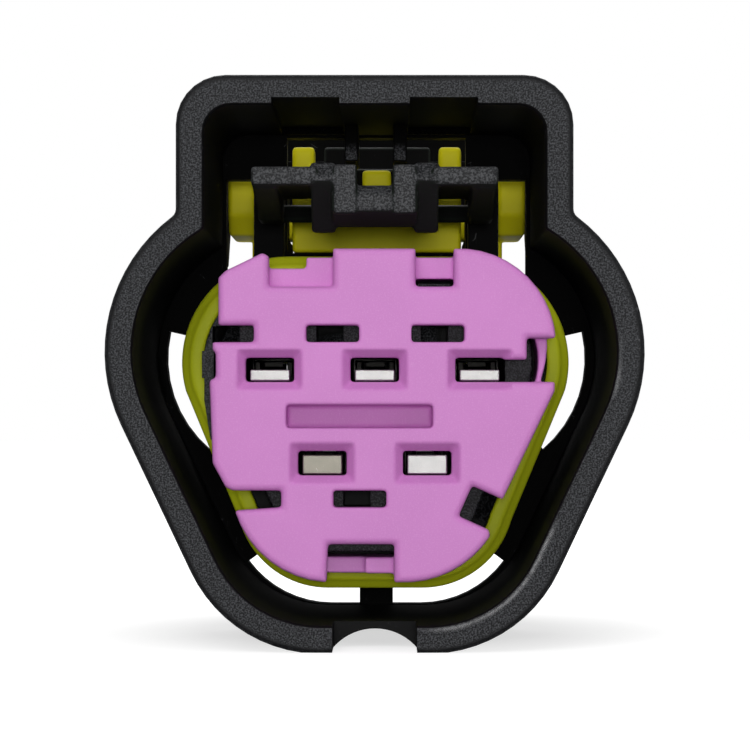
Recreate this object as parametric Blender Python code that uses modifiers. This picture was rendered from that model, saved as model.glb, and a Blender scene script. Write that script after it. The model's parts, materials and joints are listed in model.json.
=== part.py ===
# Five-way waterproof wiring connector, socket half, standing on the underside of its shroud.
# Metres, +Z up. The mating face looks towards -Y, and the cables would leave towards +Y.
# Sizes below are in millimetres. A depth is counted from the shroud's front rim, going back.
# Every height follows from the rows of terminals, and every width from the pieces inside.

import math

import bmesh
import bpy
from mathutils import Matrix, Vector

MM = 0.001
PAST = 1.0  # how far a cutter runs past the wall that it cuts
WELD = 0.001  # points nearer than this are one point
JOIN = 0.2  # least depth to which solids that are joined reach into each other
TOUCH = 0.05  # the same where a deeper reach would show
ROUND_SEGMENTS = 2
FLAT_ANGLE = 1  # degrees: faces nearer to flat than this are merged
SHARP_ANGLE = 30  # degrees: edges sharper than this aren't smoothed

# Clearances
SLIDE_GAP = 0.3  # between pieces that slide or turn on each other
SEAT_GAP = 0.1  # between a piece and the seat that holds it still

# Terminals: three above, two below
PITCH = 6.62
LOW_ROW_Z = 11.84
ROW_PITCH = 5.89
CAVITY_WIDTH = 3.3
CAVITY_HEIGHT = 2.3
BORE_RADIUS = 2.5
BORE_FRONT = 24.5
BORE_WALL = 1.2

# Tower that carries the seal: rounded by two upper and two lower circles
TOWER_UPPER_IN = 0.92  # upper circles' centres, inwards and up from the outer terminals
TOWER_UPPER_RISE = 0.57
TOWER_UPPER_RADIUS = 5.4
TOWER_LOWER_IN = 0.2  # lower circles' centres, inwards and down from the lower terminals
TOWER_LOWER_DROP = 2.27
TOWER_LOWER_RADIUS = 4.45
NOSE_STEP = 1.05  # the nose is this much smaller than the seal's seat
NOSE_FRONT = 3.5
SEAT_FRONT = 8.3
SEAT_LENGTH = 5.4
COLLAR_THICKNESS = 1.4
COLLAR_RISE = 1.0
CHEEK_STEP = 0.25  # thin wall beside the lock, on the left, this much inside the seat
CHEEK_THICKNESS = 0.6
CHEEK_BELOW = 5.0  # reach of the cheek below the upper circles' centres
CHEEK_SHORT = 0.65  # the cheek's crown stops this far below its circle's top
CHEEK_LEAN = 0.4
CHEEK_TAB = 1.7
CHEEK_TAB_RISE = 0.15
CHEEK_TAB_UP = 0.37
NOSE_KEY_LEFT = 2.75  # low rib on top of the nose
NOSE_KEY_RIGHT = 4.8
NOSE_KEY_RISE = 0.55
POCKET_DEPTH = 3.0  # blind pockets of the nose, behind the lock's service slots
POCKET_LEFT = 0.6
POCKET_RIGHT = 1.0

# Seal around the tower
SEAL_WALL = 0.95
SEAL_RIB = 0.6
SEAL_RIBS = 3
SEAL_RIB_FOOT = 0.15  # where a rib's flank starts and ends, as shares of the rib's length
SEAL_RIB_CREST = 0.35

# Shroud
SHROUD_WALL = 1.75
SHROUD_DRAFT = 0.05
ROOF_WALL = 1.9
SHROUD_DEPTH = 24.0
WEB_THICKNESS = 2.0
MATE_ROOM_SIDE = 1.93  # room for the mating wall between seal and shroud
MATE_ROOM_FOOT = 1.25
LOBE_OUT = 0.58  # centre of the shroud's round side, out and up from the tower's
LOBE_RISE = 0.51
SIDE_LEAN = 25.4  # degrees
FOOT_FLAT = 0.08  # how much of the round feet is cut flat
BOX_CORNER = 3.1
BOX_INNER_CORNER = 1.8
NECK_FILLET = 0.6
NECK_INNER_FILLET = 0.25
RIM_ROUNDING = 0.3
RIM_BREAK = 0.12

# Keyway under the shroud, and channels and stops in its ceiling
KEY_HALF = 2.66
KEY_DEPTH = 5.0
KEY_ARCH = 1.2
CHANNEL_INNER = 2.2
CHANNEL_OUTER = 6.47
CHANNEL_RISE = 0.48
STOP_INNER = 1.18
STOP_OUTER = 2.08
STOP_FRONT = 13.5
STOP_DROP = 2.45

# Latch lever
LATCH_ROOM = 1.35  # between seal and hook
LATCH_FRONT = 1.2
LATCH_SLOPE = 1.15  # slanted top of the rails' noses, and length of the hook's tip
LATCH_EDGE = 0.15
RAIL_INNER = 2.53
RAIL_OUTER = 4.05
RAIL_HEIGHT = 4.25
HOOK_LENGTH = 5.0
CATCH_HEIGHT = 1.7
BAR_RISE = 0.35
BAR_TOP = 2.8
POST_INNER = 1.13
POST_FOOT = 1.1
POST_STEP = 0.15
POST_HEIGHT = 4.06
POST_THICKNESS = 1.8
LIP_TOP = 2.2
LIP_STEP = 0.8
WING_HALF = 7.8
WING_BOTTOM = 2.75
WING_THICKNESS = 1.18
WING_BACK = 14.8
LEG_DROP = 1.7
LEG_FRONT = 10.0
LEG_INNER = 6.15
PIVOT_DEPTH = 20.0
PIVOT_RISE = 2.1
PIVOT_RADIUS = 0.6
PIVOT_WALL = 0.7
HUB_RADIUS = 0.85
PAD_FRONT = 30.6
PAD_BACK = 36.0
PAD_RISE = 4.6
PAD_THICKNESS = 1.4
PAD_LIP = 1.9

# Where the lever's pins sit, and the deck behind the shroud
PEDESTAL_INNER = 6.3
PEDESTAL_OUTER = 8.35
PEDESTAL_FRONT = 18.5
PEDESTAL_BACK = 31.0
PEDESTAL_HEIGHT = 4.4
DECK_RISE = 0.85
DECK_THICKNESS = 1.5
DECK_BACK = 40.0
GUARD_THICKNESS = 1.5
GUARD_BACK = 39.0
GUARD_STEP = 0.5
GUARD_CORNER = 3.0
BRIDGE_LENGTH = 2.0
BRIDGE_HEIGHT = 2.6
PANEL_HALF = 7.8  # upright panel in the middle of the bridge
PANEL_INSET = 0.25
CURB_BACK = 39.5
HEADROOM = 3.42
SIDE_ROOM = 2.9
BARREL_BACK = 44.0
BARREL_RIM = 0.7
BARREL_RIM_LENGTH = 2.2
DECK_RIB_INNER = 4.6
DECK_RIB_THICKNESS = 1.4

# Openings through the shroud's back web
SIDE_WINDOW_WIDTH = 1.85
SIDE_WINDOW_LOW = -50  # degrees around the shroud's round side
SIDE_WINDOW_HIGH = 13
SIDE_WINDOW_EDGE = 0.6
FOOT_WINDOW_WIDTH = 1.6
FOOT_WINDOW_INNER = 1.15
FOOT_WINDOW_HIGH = -36
FOOT_WINDOW_EDGE = 0.1
CORNER_WINDOW_INNER = 8.45
CORNER_WINDOW_OUTER = 10.4
CORNER_WINDOW_DROP = 1.9
CORNER_WINDOW_RISE = 5.95
GATE_HALF = 6.2
GATE_HEIGHT = 8.0

# Position lock that slides on the deck
SLIDER_FRONT = 27.0
SLIDER_BACK = 39.2
SLIDER_BASE = 2.0
SLIDER_EDGE = 0.2
SLIDER_HALF = 6.0
SLIDER_POST_INNER = 4.4
SLIDER_POST_LENGTH = 2.6
SLIDER_POST_HEIGHT = 5.5
SLIDER_TONGUE_HALF = 1.02
SLIDER_TONGUE_LENGTH = 2.0
SLIDER_TONGUE_HEIGHT = 3.85
SLIDER_WING_INNER = 8.65
SLIDER_WING_HEIGHT = 2.6
SLIDER_WING_FRONT = 29.0
SLIDER_BAR_LENGTH = 3.6
SLIDER_BAR_RISE = 1.35
SLIDER_BAR_THICKNESS = 1.4
SLIDER_HOOK = 0.55
SLIDER_TOE = 0.7
SLIDER_THUMB = 2.4

# Terminal lock
LOCK_FRONT = 1.0
LOCK_PLATE = 2.0
LOCK_EDGE = 0.3
LOCK_UPPER_IN = 0.37  # upper right round, from the tower's upper circle
LOCK_UPPER_RISE = 0.97
LOCK_UPPER_MORE = 0.69
LOCK_LOWER_RISE = 1.15  # lower rounds, from the tower's lower circles
LOCK_LOWER_MORE = 1.93
LOCK_LOWER_RIGHT_IN = 1.2
LOCK_LOWER_LEFT_IN = 0.4
LOCK_LOWER_RIGHT_ARC = (-86, -33)  # degrees
LOCK_LOWER_LEFT_ARC = (197, 267)
LOCK_RIGHT_OUT = 0.23  # right corner, out from the tower's side
LOCK_LEFT_IN = 0.7  # left edge, in from the tower's side
LOCK_LEFT_STEP = 0.2  # shallow steps in the left edge
LOCK_HORN_X = 7.08  # peak of the upper left corner
LOCK_HORN_DROP = 0.28
LOCK_SHOULDER_IN = 0.56
LOCK_SHOULDER_DROP = 1.4
LOCK_SHOULDER_CUT = 0.45
LOCK_RING_STEP = 0.5
LOCK_RING_DEPTH = 5.0
LOCK_RING_LEFT = -7.6  # the ring's upper arc ends here, and at half height on the right
LOCK_RING_BOTTOM = (-5.7, 4.9)  # reach of its lower arc
LOCK_RING_LOW_X = -4.34  # left of this the ring's top is lower
LOCK_RING_DROP = 0.7
LOCK_NOTCH_DEPTH = 2.4
LOCK_TOP_LEFT_NOTCH = (-6.68, -2.62)
LOCK_TOP_RIGHT_NOTCH = (2.57, 4.98)
LOCK_BOTTOM_NOTCH = (-2.95, 1.22)
LOCK_BOTTOM_STEP_X = -0.6  # left of this the ring is set back behind the bottom notch
LOCK_BOTTOM_STEP_DEPTH = 0.6
LOCK_CORNER_OUT = 2.95  # right notch's inner corner, from the right terminal
LOCK_CORNER_UP = 1.98
LOCK_FLAP_UP = 0.64
LOCK_SQUARE_RIGHT = 3.35  # square notch's centre, from the lower right terminal
LOCK_SQUARE_DOWN = 2.81
LOCK_SQUARE_SIZE = 2.1
LOCK_SQUARE_TURN = -24.3  # degrees
LOCK_WINDOW_WIDTH = 3.07
LOCK_WINDOW_HEIGHT = 1.54
LOCK_FUNNEL = 0.5
LOCK_FUNNEL_DEPTH = 0.8
LOCK_SLOT_WIDTH = 3.33
LOCK_SLOT_HEIGHT = 1.07
LOCK_SLOT_LEFT = 2.65  # slot's middle, left of its terminal
LOCK_SLOT_UP = 2.27
LOCK_LOW_SLOT_LEFT = 4.25
LOCK_LOW_SLOT_DOWN = 2.25
LOCK_TROUGH_LEFT = -5.57
LOCK_TROUGH_RIGHT = 3.65
LOCK_TROUGH_HEIGHT = 1.45
LOCK_TROUGH_DEPTH = 3.0
LOCK_TROUGH_WALL = 0.45
LOCK_TONGUE_BACK = 12.5
LOCK_TONGUE_THICKNESS = 0.8

# Contacts and their spring hoods
CONTACT_FRONT = 2.1
CONTACT_NOSE_WIDTH = 2.5
CONTACT_NOSE_LOW = 0.69
CONTACT_NOSE_HEIGHT = 0.69
LOWER_CONTACT_NOSE_HEIGHT = 1.2
CONTACT_NOSE_LENGTH = 2.0
CONTACT_NOSE_EDGE = 0.08
CONTACT_SHEET = 0.3
CONTACT_HALF = 1.2
CONTACT_LOW = 0.75
CONTACT_HIGH = 0.6
CONTACT_BOX_FRONT = 9.0
CONTACT_BOX_BACK = 16.6
SPRING_LIP = 1.5
CRIMP_FRONT = 18.6
CRIMP_LENGTH = 3.4
CRIMP_HEIGHT = 1.5
GRIP_FRONT = 27.6
GRIP_LENGTH = 2.4
HOOD_SHEET = 0.2
HOOD_BACK = 16.0

# Cable seals
CABLE_SEAL_BACK = 39.0
CABLE_SEAL_LENGTH = 7.6
CABLE_SEAL_RIBS = 3
CABLE_SEAL_BODY = 2.05
CABLE_SEAL_RIB = 2.4
CABLE_SEAL_RAMP = 0.3  # length of a rib's flank and of its crest, as a share of the ribs' pitch
CABLE_SEAL_NECK = 1.35
CABLE_SEAL_NECK_LENGTH = 3.5
CABLE_HOLE = 0.85
CABLE_SEAL_SIDES = 16

# Sizes that follow
TOP_ROW_Z = LOW_ROW_Z + ROW_PITCH
TOWER_UPPER_X = PITCH - TOWER_UPPER_IN
TOWER_UPPER_Z = TOP_ROW_Z + TOWER_UPPER_RISE
TOWER_LOWER_X = PITCH / 2 - TOWER_LOWER_IN
TOWER_LOWER_Z = LOW_ROW_Z - TOWER_LOWER_DROP
CHEEK_ABOVE = TOWER_UPPER_RADIUS - CHEEK_STEP - CHEEK_SHORT
SEAL_REACH = SEAL_WALL + SEAL_RIB
SEAL_TOP = TOWER_UPPER_Z + TOWER_UPPER_RADIUS + SEAL_REACH
SEAL_FRONT = SEAT_FRONT + SEAT_GAP
SEAL_LENGTH = SEAT_LENGTH - SEAT_GAP - SLIDE_GAP
COLLAR_FRONT = SEAT_FRONT + SEAT_LENGTH
NOSE_TOP = TOWER_UPPER_Z + TOWER_UPPER_RADIUS - NOSE_STEP
WEB_FRONT = SHROUD_DEPTH - WEB_THICKNESS
WEB_MIDDLE = SHROUD_DEPTH - WEB_THICKNESS / 2
LOBE_X = TOWER_UPPER_X + LOBE_OUT
LOBE_Z = TOWER_UPPER_Z + LOBE_RISE
LOBE_RADIUS = TOWER_UPPER_RADIUS + SEAL_REACH + MATE_ROOM_SIDE + SHROUD_WALL
FOOT_RADIUS = TOWER_LOWER_RADIUS + SEAL_REACH + MATE_ROOM_FOOT + SHROUD_WALL
FOOT_Z = FOOT_RADIUS - FOOT_FLAT
HOOK_Z = SEAL_TOP + LATCH_ROOM
CEILING_Z = HOOK_Z + RAIL_HEIGHT + HEADROOM
BOX_TOP = CEILING_Z + ROOF_WALL
BOX_HALF = WING_HALF + SIDE_ROOM + SHROUD_WALL
PIVOT_Z = HOOK_Z + PIVOT_RISE
PAD_Z = HOOK_Z + PAD_RISE
DECK_TOP = SEAL_TOP + DECK_RISE
GUARD_INNER = BOX_HALF - GUARD_THICKNESS
SLIDER_BOTTOM = DECK_TOP + SLIDE_GAP
SLIDER_TOP = SLIDER_BOTTOM + SLIDER_BASE
SLIDER_OUTER = GUARD_INNER - SLIDE_GAP
WING_Z = SLIDER_BOTTOM + SLIDER_BAR_RISE
LOCK_UPPER_X = TOWER_UPPER_X - LOCK_UPPER_IN
LOCK_UPPER_Z = TOWER_UPPER_Z + LOCK_UPPER_RISE
LOCK_UPPER_RADIUS = TOWER_UPPER_RADIUS + LOCK_UPPER_MORE
LOCK_LOWER_Z = TOWER_LOWER_Z + LOCK_LOWER_RISE
LOCK_LOWER_RADIUS = TOWER_LOWER_RADIUS + LOCK_LOWER_MORE
LOCK_TOP_Z = LOCK_UPPER_Z + LOCK_UPPER_RADIUS
LOCK_BOTTOM_Z = LOCK_LOWER_Z - LOCK_LOWER_RADIUS
TROUGH_Z = LOW_ROW_Z + ROW_PITCH / 2
TROUGH_BACK = LOCK_FRONT + LOCK_TROUGH_DEPTH + LOCK_TROUGH_WALL


def frame_y(depth):
    """Frame Y in millimetres of a depth behind the front rim."""
    return depth - BARREL_BACK / 2


# Outlines: points (x, z) in millimetres, counter-clockwise for someone facing the rim


def arc(x, z, radius, start, end, steps):
    angles = [math.radians(start + (end - start) * i / steps) for i in range(steps + 1)]
    return [(x + radius * math.cos(a), z + radius * math.sin(a)) for a in angles]


def mirrored(right_half):
    """The right half of an outline, bottom to top, with its mirror image."""
    return right_half + [(-x, z) for x, z in reversed(right_half)]


def rectangle(x0, x1, z0, z1):
    return [(x0, z0), (x1, z0), (x1, z1), (x0, z1)]


def round_triangle(upper_x, upper_z, upper_radius, lower_x, lower_z, lower_radius):
    """Two upper and two lower circles and the straight lines that touch them."""
    rise = upper_z - lower_z
    run = upper_x - lower_x
    tilt = math.asin((lower_radius - upper_radius) / math.hypot(rise, run))
    side = math.degrees(math.atan2(rise, run) + tilt) - 90
    half = arc(lower_x, lower_z, lower_radius, -90, side, 8)
    half += arc(upper_x, upper_z, upper_radius, side, 90, 14)
    return mirrored(half)


def tower_outline(grow):
    return round_triangle(
        TOWER_UPPER_X,
        TOWER_UPPER_Z,
        TOWER_UPPER_RADIUS + grow,
        TOWER_LOWER_X,
        TOWER_LOWER_Z,
        TOWER_LOWER_RADIUS + grow,
    )


def barrel_outline(radius):
    """Around the outer terminals of both rows."""
    return round_triangle(PITCH, TOP_ROW_Z, radius, PITCH / 2, LOW_ROW_Z, radius)


def shroud_outline(inset, roof_inset, corner, fillet):
    """The shroud's outline, moved in by inset at the sides and by roof_inset at the top."""
    lean = math.radians(SIDE_LEAN)
    side = LOBE_X * math.cos(lean) - LOBE_Z * math.sin(lean) + LOBE_RADIUS
    foot_x = (side - FOOT_RADIUS + FOOT_Z * math.sin(lean)) / math.cos(lean)
    foot_start = -math.degrees(math.asin(min(1, FOOT_Z / (FOOT_RADIUS - inset))))
    box_x = BOX_HALF - inset
    reach = LOBE_RADIUS - inset + fillet
    neck = math.acos((box_x + fillet - LOBE_X) / reach)
    neck_z = LOBE_Z + reach * math.sin(neck)
    neck_angle = math.degrees(neck)
    top = BOX_TOP - roof_inset
    half = arc(foot_x, FOOT_Z, FOOT_RADIUS - inset, foot_start, -SIDE_LEAN, 10)
    half += arc(LOBE_X, LOBE_Z, LOBE_RADIUS - inset, -SIDE_LEAN, neck_angle, 16)
    half += arc(box_x + fillet, neck_z, fillet, neck_angle + 180, 180, 3)[1:]
    half += arc(box_x - corner, top - corner, corner, 0, 90, 7)
    return mirrored(half)


# Solids


def collection(name, parent):
    made = bpy.data.collections.new(name)
    parent.children.link(made)
    return made


def add_object(name, mesh_data, home):
    made = bpy.data.objects.new(name, mesh_data)
    home.objects.link(made)
    return made


def from_bmesh(name, bm, home):
    bmesh.ops.recalc_face_normals(bm, faces=bm.faces)
    mesh_data = bpy.data.meshes.new(name)
    bm.to_mesh(mesh_data)
    bm.free()
    return add_object(name, mesh_data, home)


def place(x, depth, z):
    return Vector((x, frame_y(depth), z)) * MM


def loft(name, home, rings, closed=False):
    """A solid through rings (depth, outline). A closed loft joins the last ring to the first."""
    bm = bmesh.new()
    rows = [[bm.verts.new(place(x, depth, z)) for x, z in line] for depth, line in rings]
    followers = rows[1:] + rows[:1] if closed else rows[1:]
    for near, far in zip(rows, followers):
        for i in range(len(near)):
            j = (i + 1) % len(near)
            bm.faces.new((near[i], near[j], far[j], far[i]))
    if not closed:
        bm.faces.new(rows[0])
        bm.faces.new(rows[-1])
    return from_bmesh(name, bm, home)


def round_edges(bm, width, edges=None):
    bmesh.ops.bevel(
        bm,
        geom=edges or bm.edges[:],
        offset=width * MM,
        segments=ROUND_SEGMENTS,
        profile=0.5,
        affect="EDGES",
        clamp_overlap=True,
    )


def box(name, home, x0, x1, y0, y1, z0, z1, edge=0):
    bm = bmesh.new()
    middle = place((x0 + x1) / 2, (y0 + y1) / 2, (z0 + z1) / 2)
    size = Matrix.Diagonal(((x1 - x0) * MM, (y1 - y0) * MM, (z1 - z0) * MM, 1))
    bmesh.ops.create_cube(bm, size=1, matrix=Matrix.Translation(middle) @ size)
    if edge:
        round_edges(bm, edge)
    return from_bmesh(name, bm, home)


def cylinder(name, home, x0, x1, radius, y0, y1, z0, z1, segments=24):
    """A cylinder from one point to another, along X or along Y."""
    bm = bmesh.new()
    start, end = place(x0, y0, z0), place(x1, y1, z1)
    way = end - start
    turn = way.to_track_quat("Z", "Y").to_matrix().to_4x4()
    bmesh.ops.create_cone(
        bm,
        cap_ends=True,
        segments=segments,
        radius1=radius * MM,
        radius2=radius * MM,
        depth=way.length,
        matrix=Matrix.Translation((start + end) / 2) @ turn,
    )
    return from_bmesh(name, bm, home)


def pipe(name, home, x, z, radius, y0, y1, segments=24):
    return cylinder(name, home, x, x, radius, y0, y1, z, z, segments)


def plate(name, home, outline, y0, y1, rounding=0):
    """A flat piece across the depth, from a filled 2D curve, with rounded edges."""
    curve = bpy.data.curves.new(name, "CURVE")
    curve.dimensions = "2D"
    curve.fill_mode = "BOTH"
    curve.extrude = (y1 - y0) / 2 * MM
    spline = curve.splines.new("POLY")
    spline.points.add(len(outline) - 1)
    for point, (x, z) in zip(spline.points, outline):
        point.co = (x * MM, z * MM, 0, 1)
    spline.use_cyclic_u = True
    flat = add_object(name, curve, home)
    flat.rotation_euler = (math.pi / 2, 0, 0)
    flat.location = (0, frame_y((y0 + y1) / 2) * MM, 0)
    bpy.context.view_layer.update()
    graph = bpy.context.evaluated_depsgraph_get()
    mesh_data = bpy.data.meshes.new_from_object(flat.evaluated_get(graph))
    mesh_data.transform(flat.matrix_world)
    bpy.data.objects.remove(flat)
    bm = bmesh.new()
    bm.from_mesh(mesh_data)
    bmesh.ops.remove_doubles(bm, verts=bm.verts, dist=WELD * MM)
    flat_angle = math.radians(FLAT_ANGLE)
    bmesh.ops.dissolve_limit(bm, angle_limit=flat_angle, verts=bm.verts, edges=bm.edges)
    if rounding:
        middle = frame_y((y0 + y1) / 2) * MM
        rims = [
            edge
            for edge in bm.edges
            if (edge.verts[0].co.y > middle) == (edge.verts[1].co.y > middle)
        ]
        round_edges(bm, rounding, rims)
    return from_bmesh(name, bm, home)


def side_plate(name, home, x0, x1, outline, edge=0):
    """A flat piece from x0 to x1 whose outline is (depth, z)."""
    bm = bmesh.new()
    face = bm.faces.new([bm.verts.new(place(x0, depth, z)) for depth, z in outline])
    swept = bmesh.ops.extrude_face_region(bm, geom=[face])["geom"]
    corners = [v for v in swept if isinstance(v, bmesh.types.BMVert)]
    bmesh.ops.translate(bm, verts=corners, vec=((x1 - x0) * MM, 0, 0))
    if edge:
        round_edges(bm, edge)
    return from_bmesh(name, bm, home)


def both_sides(make, name, home, x0, x1, *rest):
    """The same solid on the right, from x0 to x1, and mirrored on the left."""
    make(name + "_right", home, x0, x1, *rest)
    make(name + "_left", home, -x1, -x0, *rest)


class Piece:
    """A sub-part: a base shape, then steps that each add or cut a collection of solids."""

    def __init__(self, name, cutters):
        self.name = name
        self.cutters = cutters
        self.base = collection(name + "_base", cutters)
        self.steps = []

    def step(self, operation):
        tools = collection(f"{self.name}_step_{len(self.steps) + 1}", self.cutters)
        self.steps.append((operation, tools))
        return tools

    def add(self):
        return self.step("UNION")

    def cut(self):
        return self.step("DIFFERENCE")

    def finish(self, home, look, origin=None):
        piece = self.base.objects[0]
        self.base.objects.unlink(piece)
        bpy.data.collections.remove(self.base)
        home.objects.link(piece)
        piece.name = self.name
        piece.data.name = self.name
        piece.data.materials.append(look)
        for operation, tools in self.steps:
            modifier = piece.modifiers.new(tools.name, "BOOLEAN")
            modifier.operation = operation
            modifier.solver = "EXACT"
            modifier.operand_type = "COLLECTION"
            modifier.collection = tools
        smooth(piece)
        if origin:
            piece.data.transform(Matrix.Translation(-origin))
            piece.location = origin
        return piece


def smooth(piece):
    piece.data.shade_smooth()
    piece.data.set_sharp_from_angle(angle=math.radians(SHARP_ANGLE))


def material(name, colour, roughness, metallic=0.0):
    made = bpy.data.materials.new(name)
    made.use_nodes = True
    shader = made.node_tree.nodes["Principled BSDF"]
    shader.inputs["Base Color"].default_value = (*colour, 1.0)
    shader.inputs["Roughness"].default_value = roughness
    shader.inputs["Metallic"].default_value = metallic
    return made


def terminal_places():
    """Each terminal's centre, with 1 for the upper row and -1 for the lower."""
    upper = [(PITCH * (i - 1), TOP_ROW_Z, 1) for i in range(3)]
    lower = [(PITCH * (i - 0.5), LOW_ROW_Z, -1) for i in range(2)]
    return upper + lower


# Housing


def shroud_cup(home):
    """Outer wall, rounded rim, inner wall and the web that closes the back."""
    half_round = RIM_ROUNDING * (1 - math.sqrt(0.5))
    outer_rings = [
        (depth, shroud_outline(inset, inset, BOX_CORNER - inset, NECK_FILLET + inset))
        for depth, inset in (
            (SHROUD_DEPTH, 0),
            (RIM_ROUNDING, 0),
            (half_round, half_round),
            (0, RIM_ROUNDING),
        )
    ]
    inner_rings = [
        (
            depth,
            shroud_outline(
                SHROUD_WALL + more, ROOF_WALL + min(more, 0), BOX_INNER_CORNER, NECK_INNER_FILLET
            ),
        )
        for depth, more in ((0, -RIM_BREAK), (RIM_BREAK, 0), (WEB_FRONT, SHROUD_DRAFT))
    ]
    loft("shroud", home, outer_rings + inner_rings)


def add_tower(home):
    collar_back = COLLAR_FRONT + COLLAR_THICKNESS
    steps = [
        (NOSE_FRONT, -NOSE_STEP - RIM_BREAK),
        (NOSE_FRONT + RIM_BREAK, -NOSE_STEP),
        (SEAT_FRONT, -NOSE_STEP),
        (SEAT_FRONT, 0),
        (COLLAR_FRONT, 0),
        (COLLAR_FRONT, COLLAR_RISE),
        (collar_back, COLLAR_RISE),
        (collar_back, 0),
        (WEB_MIDDLE, 0),
    ]
    loft("tower", home, [(depth, tower_outline(grow)) for depth, grow in steps])
    low, high = NOSE_TOP - PAST, NOSE_TOP + NOSE_KEY_RISE
    back = SEAT_FRONT + SEAT_GAP / 2
    box("nose_key", home, NOSE_KEY_LEFT, NOSE_KEY_RIGHT, NOSE_FRONT, back, low, high)


def add_cheek(home):
    """Thin wall on the left of the nose, beside the terminal lock, with a small tab."""
    outer = TOWER_UPPER_RADIUS - CHEEK_STEP
    inner = outer - CHEEK_THICKNESS
    x, z = -TOWER_UPPER_X, TOWER_UPPER_Z
    high = 180 - math.degrees(math.asin(CHEEK_ABOVE / outer))
    crown = arc(x, z, outer, high, 180, 8) + arc(x, z, inner, 180, high, 8)
    plate("cheek_crown", home, crown, NOSE_FRONT, SEAT_FRONT + SEAT_GAP)
    foot = [
        (x - outer, z + SEAT_GAP),
        (x - outer, z - CHEEK_BELOW / 2),
        (x - outer + CHEEK_LEAN, z - CHEEK_BELOW),
        (x - inner + CHEEK_LEAN, z - CHEEK_BELOW),
        (x - inner, z - CHEEK_BELOW / 2),
        (x - inner, z + SEAT_GAP),
    ]
    plate("cheek_foot", home, foot, NOSE_FRONT, SEAT_FRONT)
    left = x - outer - CHEEK_TAB_RISE
    low = TOP_ROW_Z + CHEEK_TAB_UP - CHEEK_TAB / 2
    back = SEAT_FRONT - SEAT_GAP
    box("cheek_tab", home, left, x - inner, NOSE_FRONT, back, low, low + CHEEK_TAB)


def add_barrel(home):
    """The part behind the shroud that holds the five cable seals."""
    tube = BORE_RADIUS + BORE_WALL
    for number, (x, z, _) in enumerate(terminal_places(), 1):
        pipe(f"barrel_tube_{number}", home, x, z, tube, WEB_MIDDLE, BARREL_BACK - RIM_BREAK)
    core = barrel_outline(BORE_RADIUS - BORE_WALL / 2)
    plate("barrel_core", home, core, WEB_MIDDLE, BARREL_BACK - 2 * RIM_BREAK)
    rim = barrel_outline(tube + BARREL_RIM)
    plate("barrel_rim", home, rim, BARREL_BACK - BARREL_RIM_LENGTH, BARREL_BACK, RIM_BREAK)


def add_deck(home):
    """Deck for the position lock, its ribs, and the blocks that hold the lever's pins."""
    bottom = DECK_TOP - DECK_THICKNESS
    inside = DECK_TOP - DECK_THICKNESS / 2
    box("deck", home, -PEDESTAL_OUTER, PEDESTAL_OUTER, WEB_MIDDLE, DECK_BACK, bottom, DECK_TOP)
    both_sides(
        box,
        "deck_rib",
        home,
        DECK_RIB_INNER,
        DECK_RIB_INNER + DECK_RIB_THICKNESS,
        WEB_MIDDLE,
        DECK_BACK - BARREL_RIM_LENGTH,
        TOP_ROW_Z,
        inside,
    )
    both_sides(
        box,
        "pedestal",
        home,
        PEDESTAL_INNER,
        PEDESTAL_OUTER,
        PEDESTAL_FRONT,
        PEDESTAL_BACK,
        inside,
        DECK_TOP + PEDESTAL_HEIGHT,
        RIM_BREAK,
    )
    both_sides(
        box,
        "curb",
        home,
        PEDESTAL_INNER,
        PEDESTAL_OUTER - TOUCH,
        PEDESTAL_BACK - JOIN,
        CURB_BACK,
        inside,
        WING_Z - SLIDE_GAP,
    )


def add_guard(home):
    """Side walls beside the lever's pad, and the bridge with its panel behind it."""
    low = SEAL_TOP
    high = CEILING_Z - GUARD_STEP
    wall = [
        (WEB_MIDDLE, low),
        (GUARD_BACK - GUARD_CORNER, low + GUARD_STEP),
        (GUARD_BACK, low + GUARD_CORNER),
        (GUARD_BACK, high - GUARD_STEP),
        (GUARD_BACK - GUARD_STEP, high),
        (WEB_MIDDLE, high),
    ]
    both_sides(side_plate, "guard", home, GUARD_INNER, BOX_HALF, wall, RIM_BREAK)
    half = GUARD_INNER + GUARD_THICKNESS / 2
    front = GUARD_BACK - BRIDGE_LENGTH
    top = high - RIM_BREAK
    back = GUARD_BACK - RIM_BREAK
    box("bridge", home, -half, half, front, back, top - BRIDGE_HEIGHT, top, RIM_BREAK)
    low = WING_Z + SLIDER_BAR_THICKNESS + SLIDE_GAP
    high = BOX_TOP - GUARD_STEP
    front += PANEL_INSET
    back -= PANEL_INSET
    box("panel", home, -PANEL_HALF, PANEL_HALF, front, back, low, high, RIM_BREAK)


def add_stops(home):
    """Two ribs in the ceiling that keep the latch lever from lifting too far."""
    both_sides(
        box,
        "stop",
        home,
        STOP_INNER,
        STOP_OUTER,
        STOP_FRONT,
        WEB_MIDDLE,
        CEILING_Z - STOP_DROP,
        CEILING_Z + ROOF_WALL / 2,
        RIM_BREAK,
    )


def window(name, home, outline):
    """An opening through the web, and its mirror image."""
    front, back = WEB_FRONT - PAST, SHROUD_DEPTH + PAST
    plate(name + "_right", home, outline, front, back)
    plate(name + "_left", home, [(-x, z) for x, z in reversed(outline)], front, back)


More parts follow.
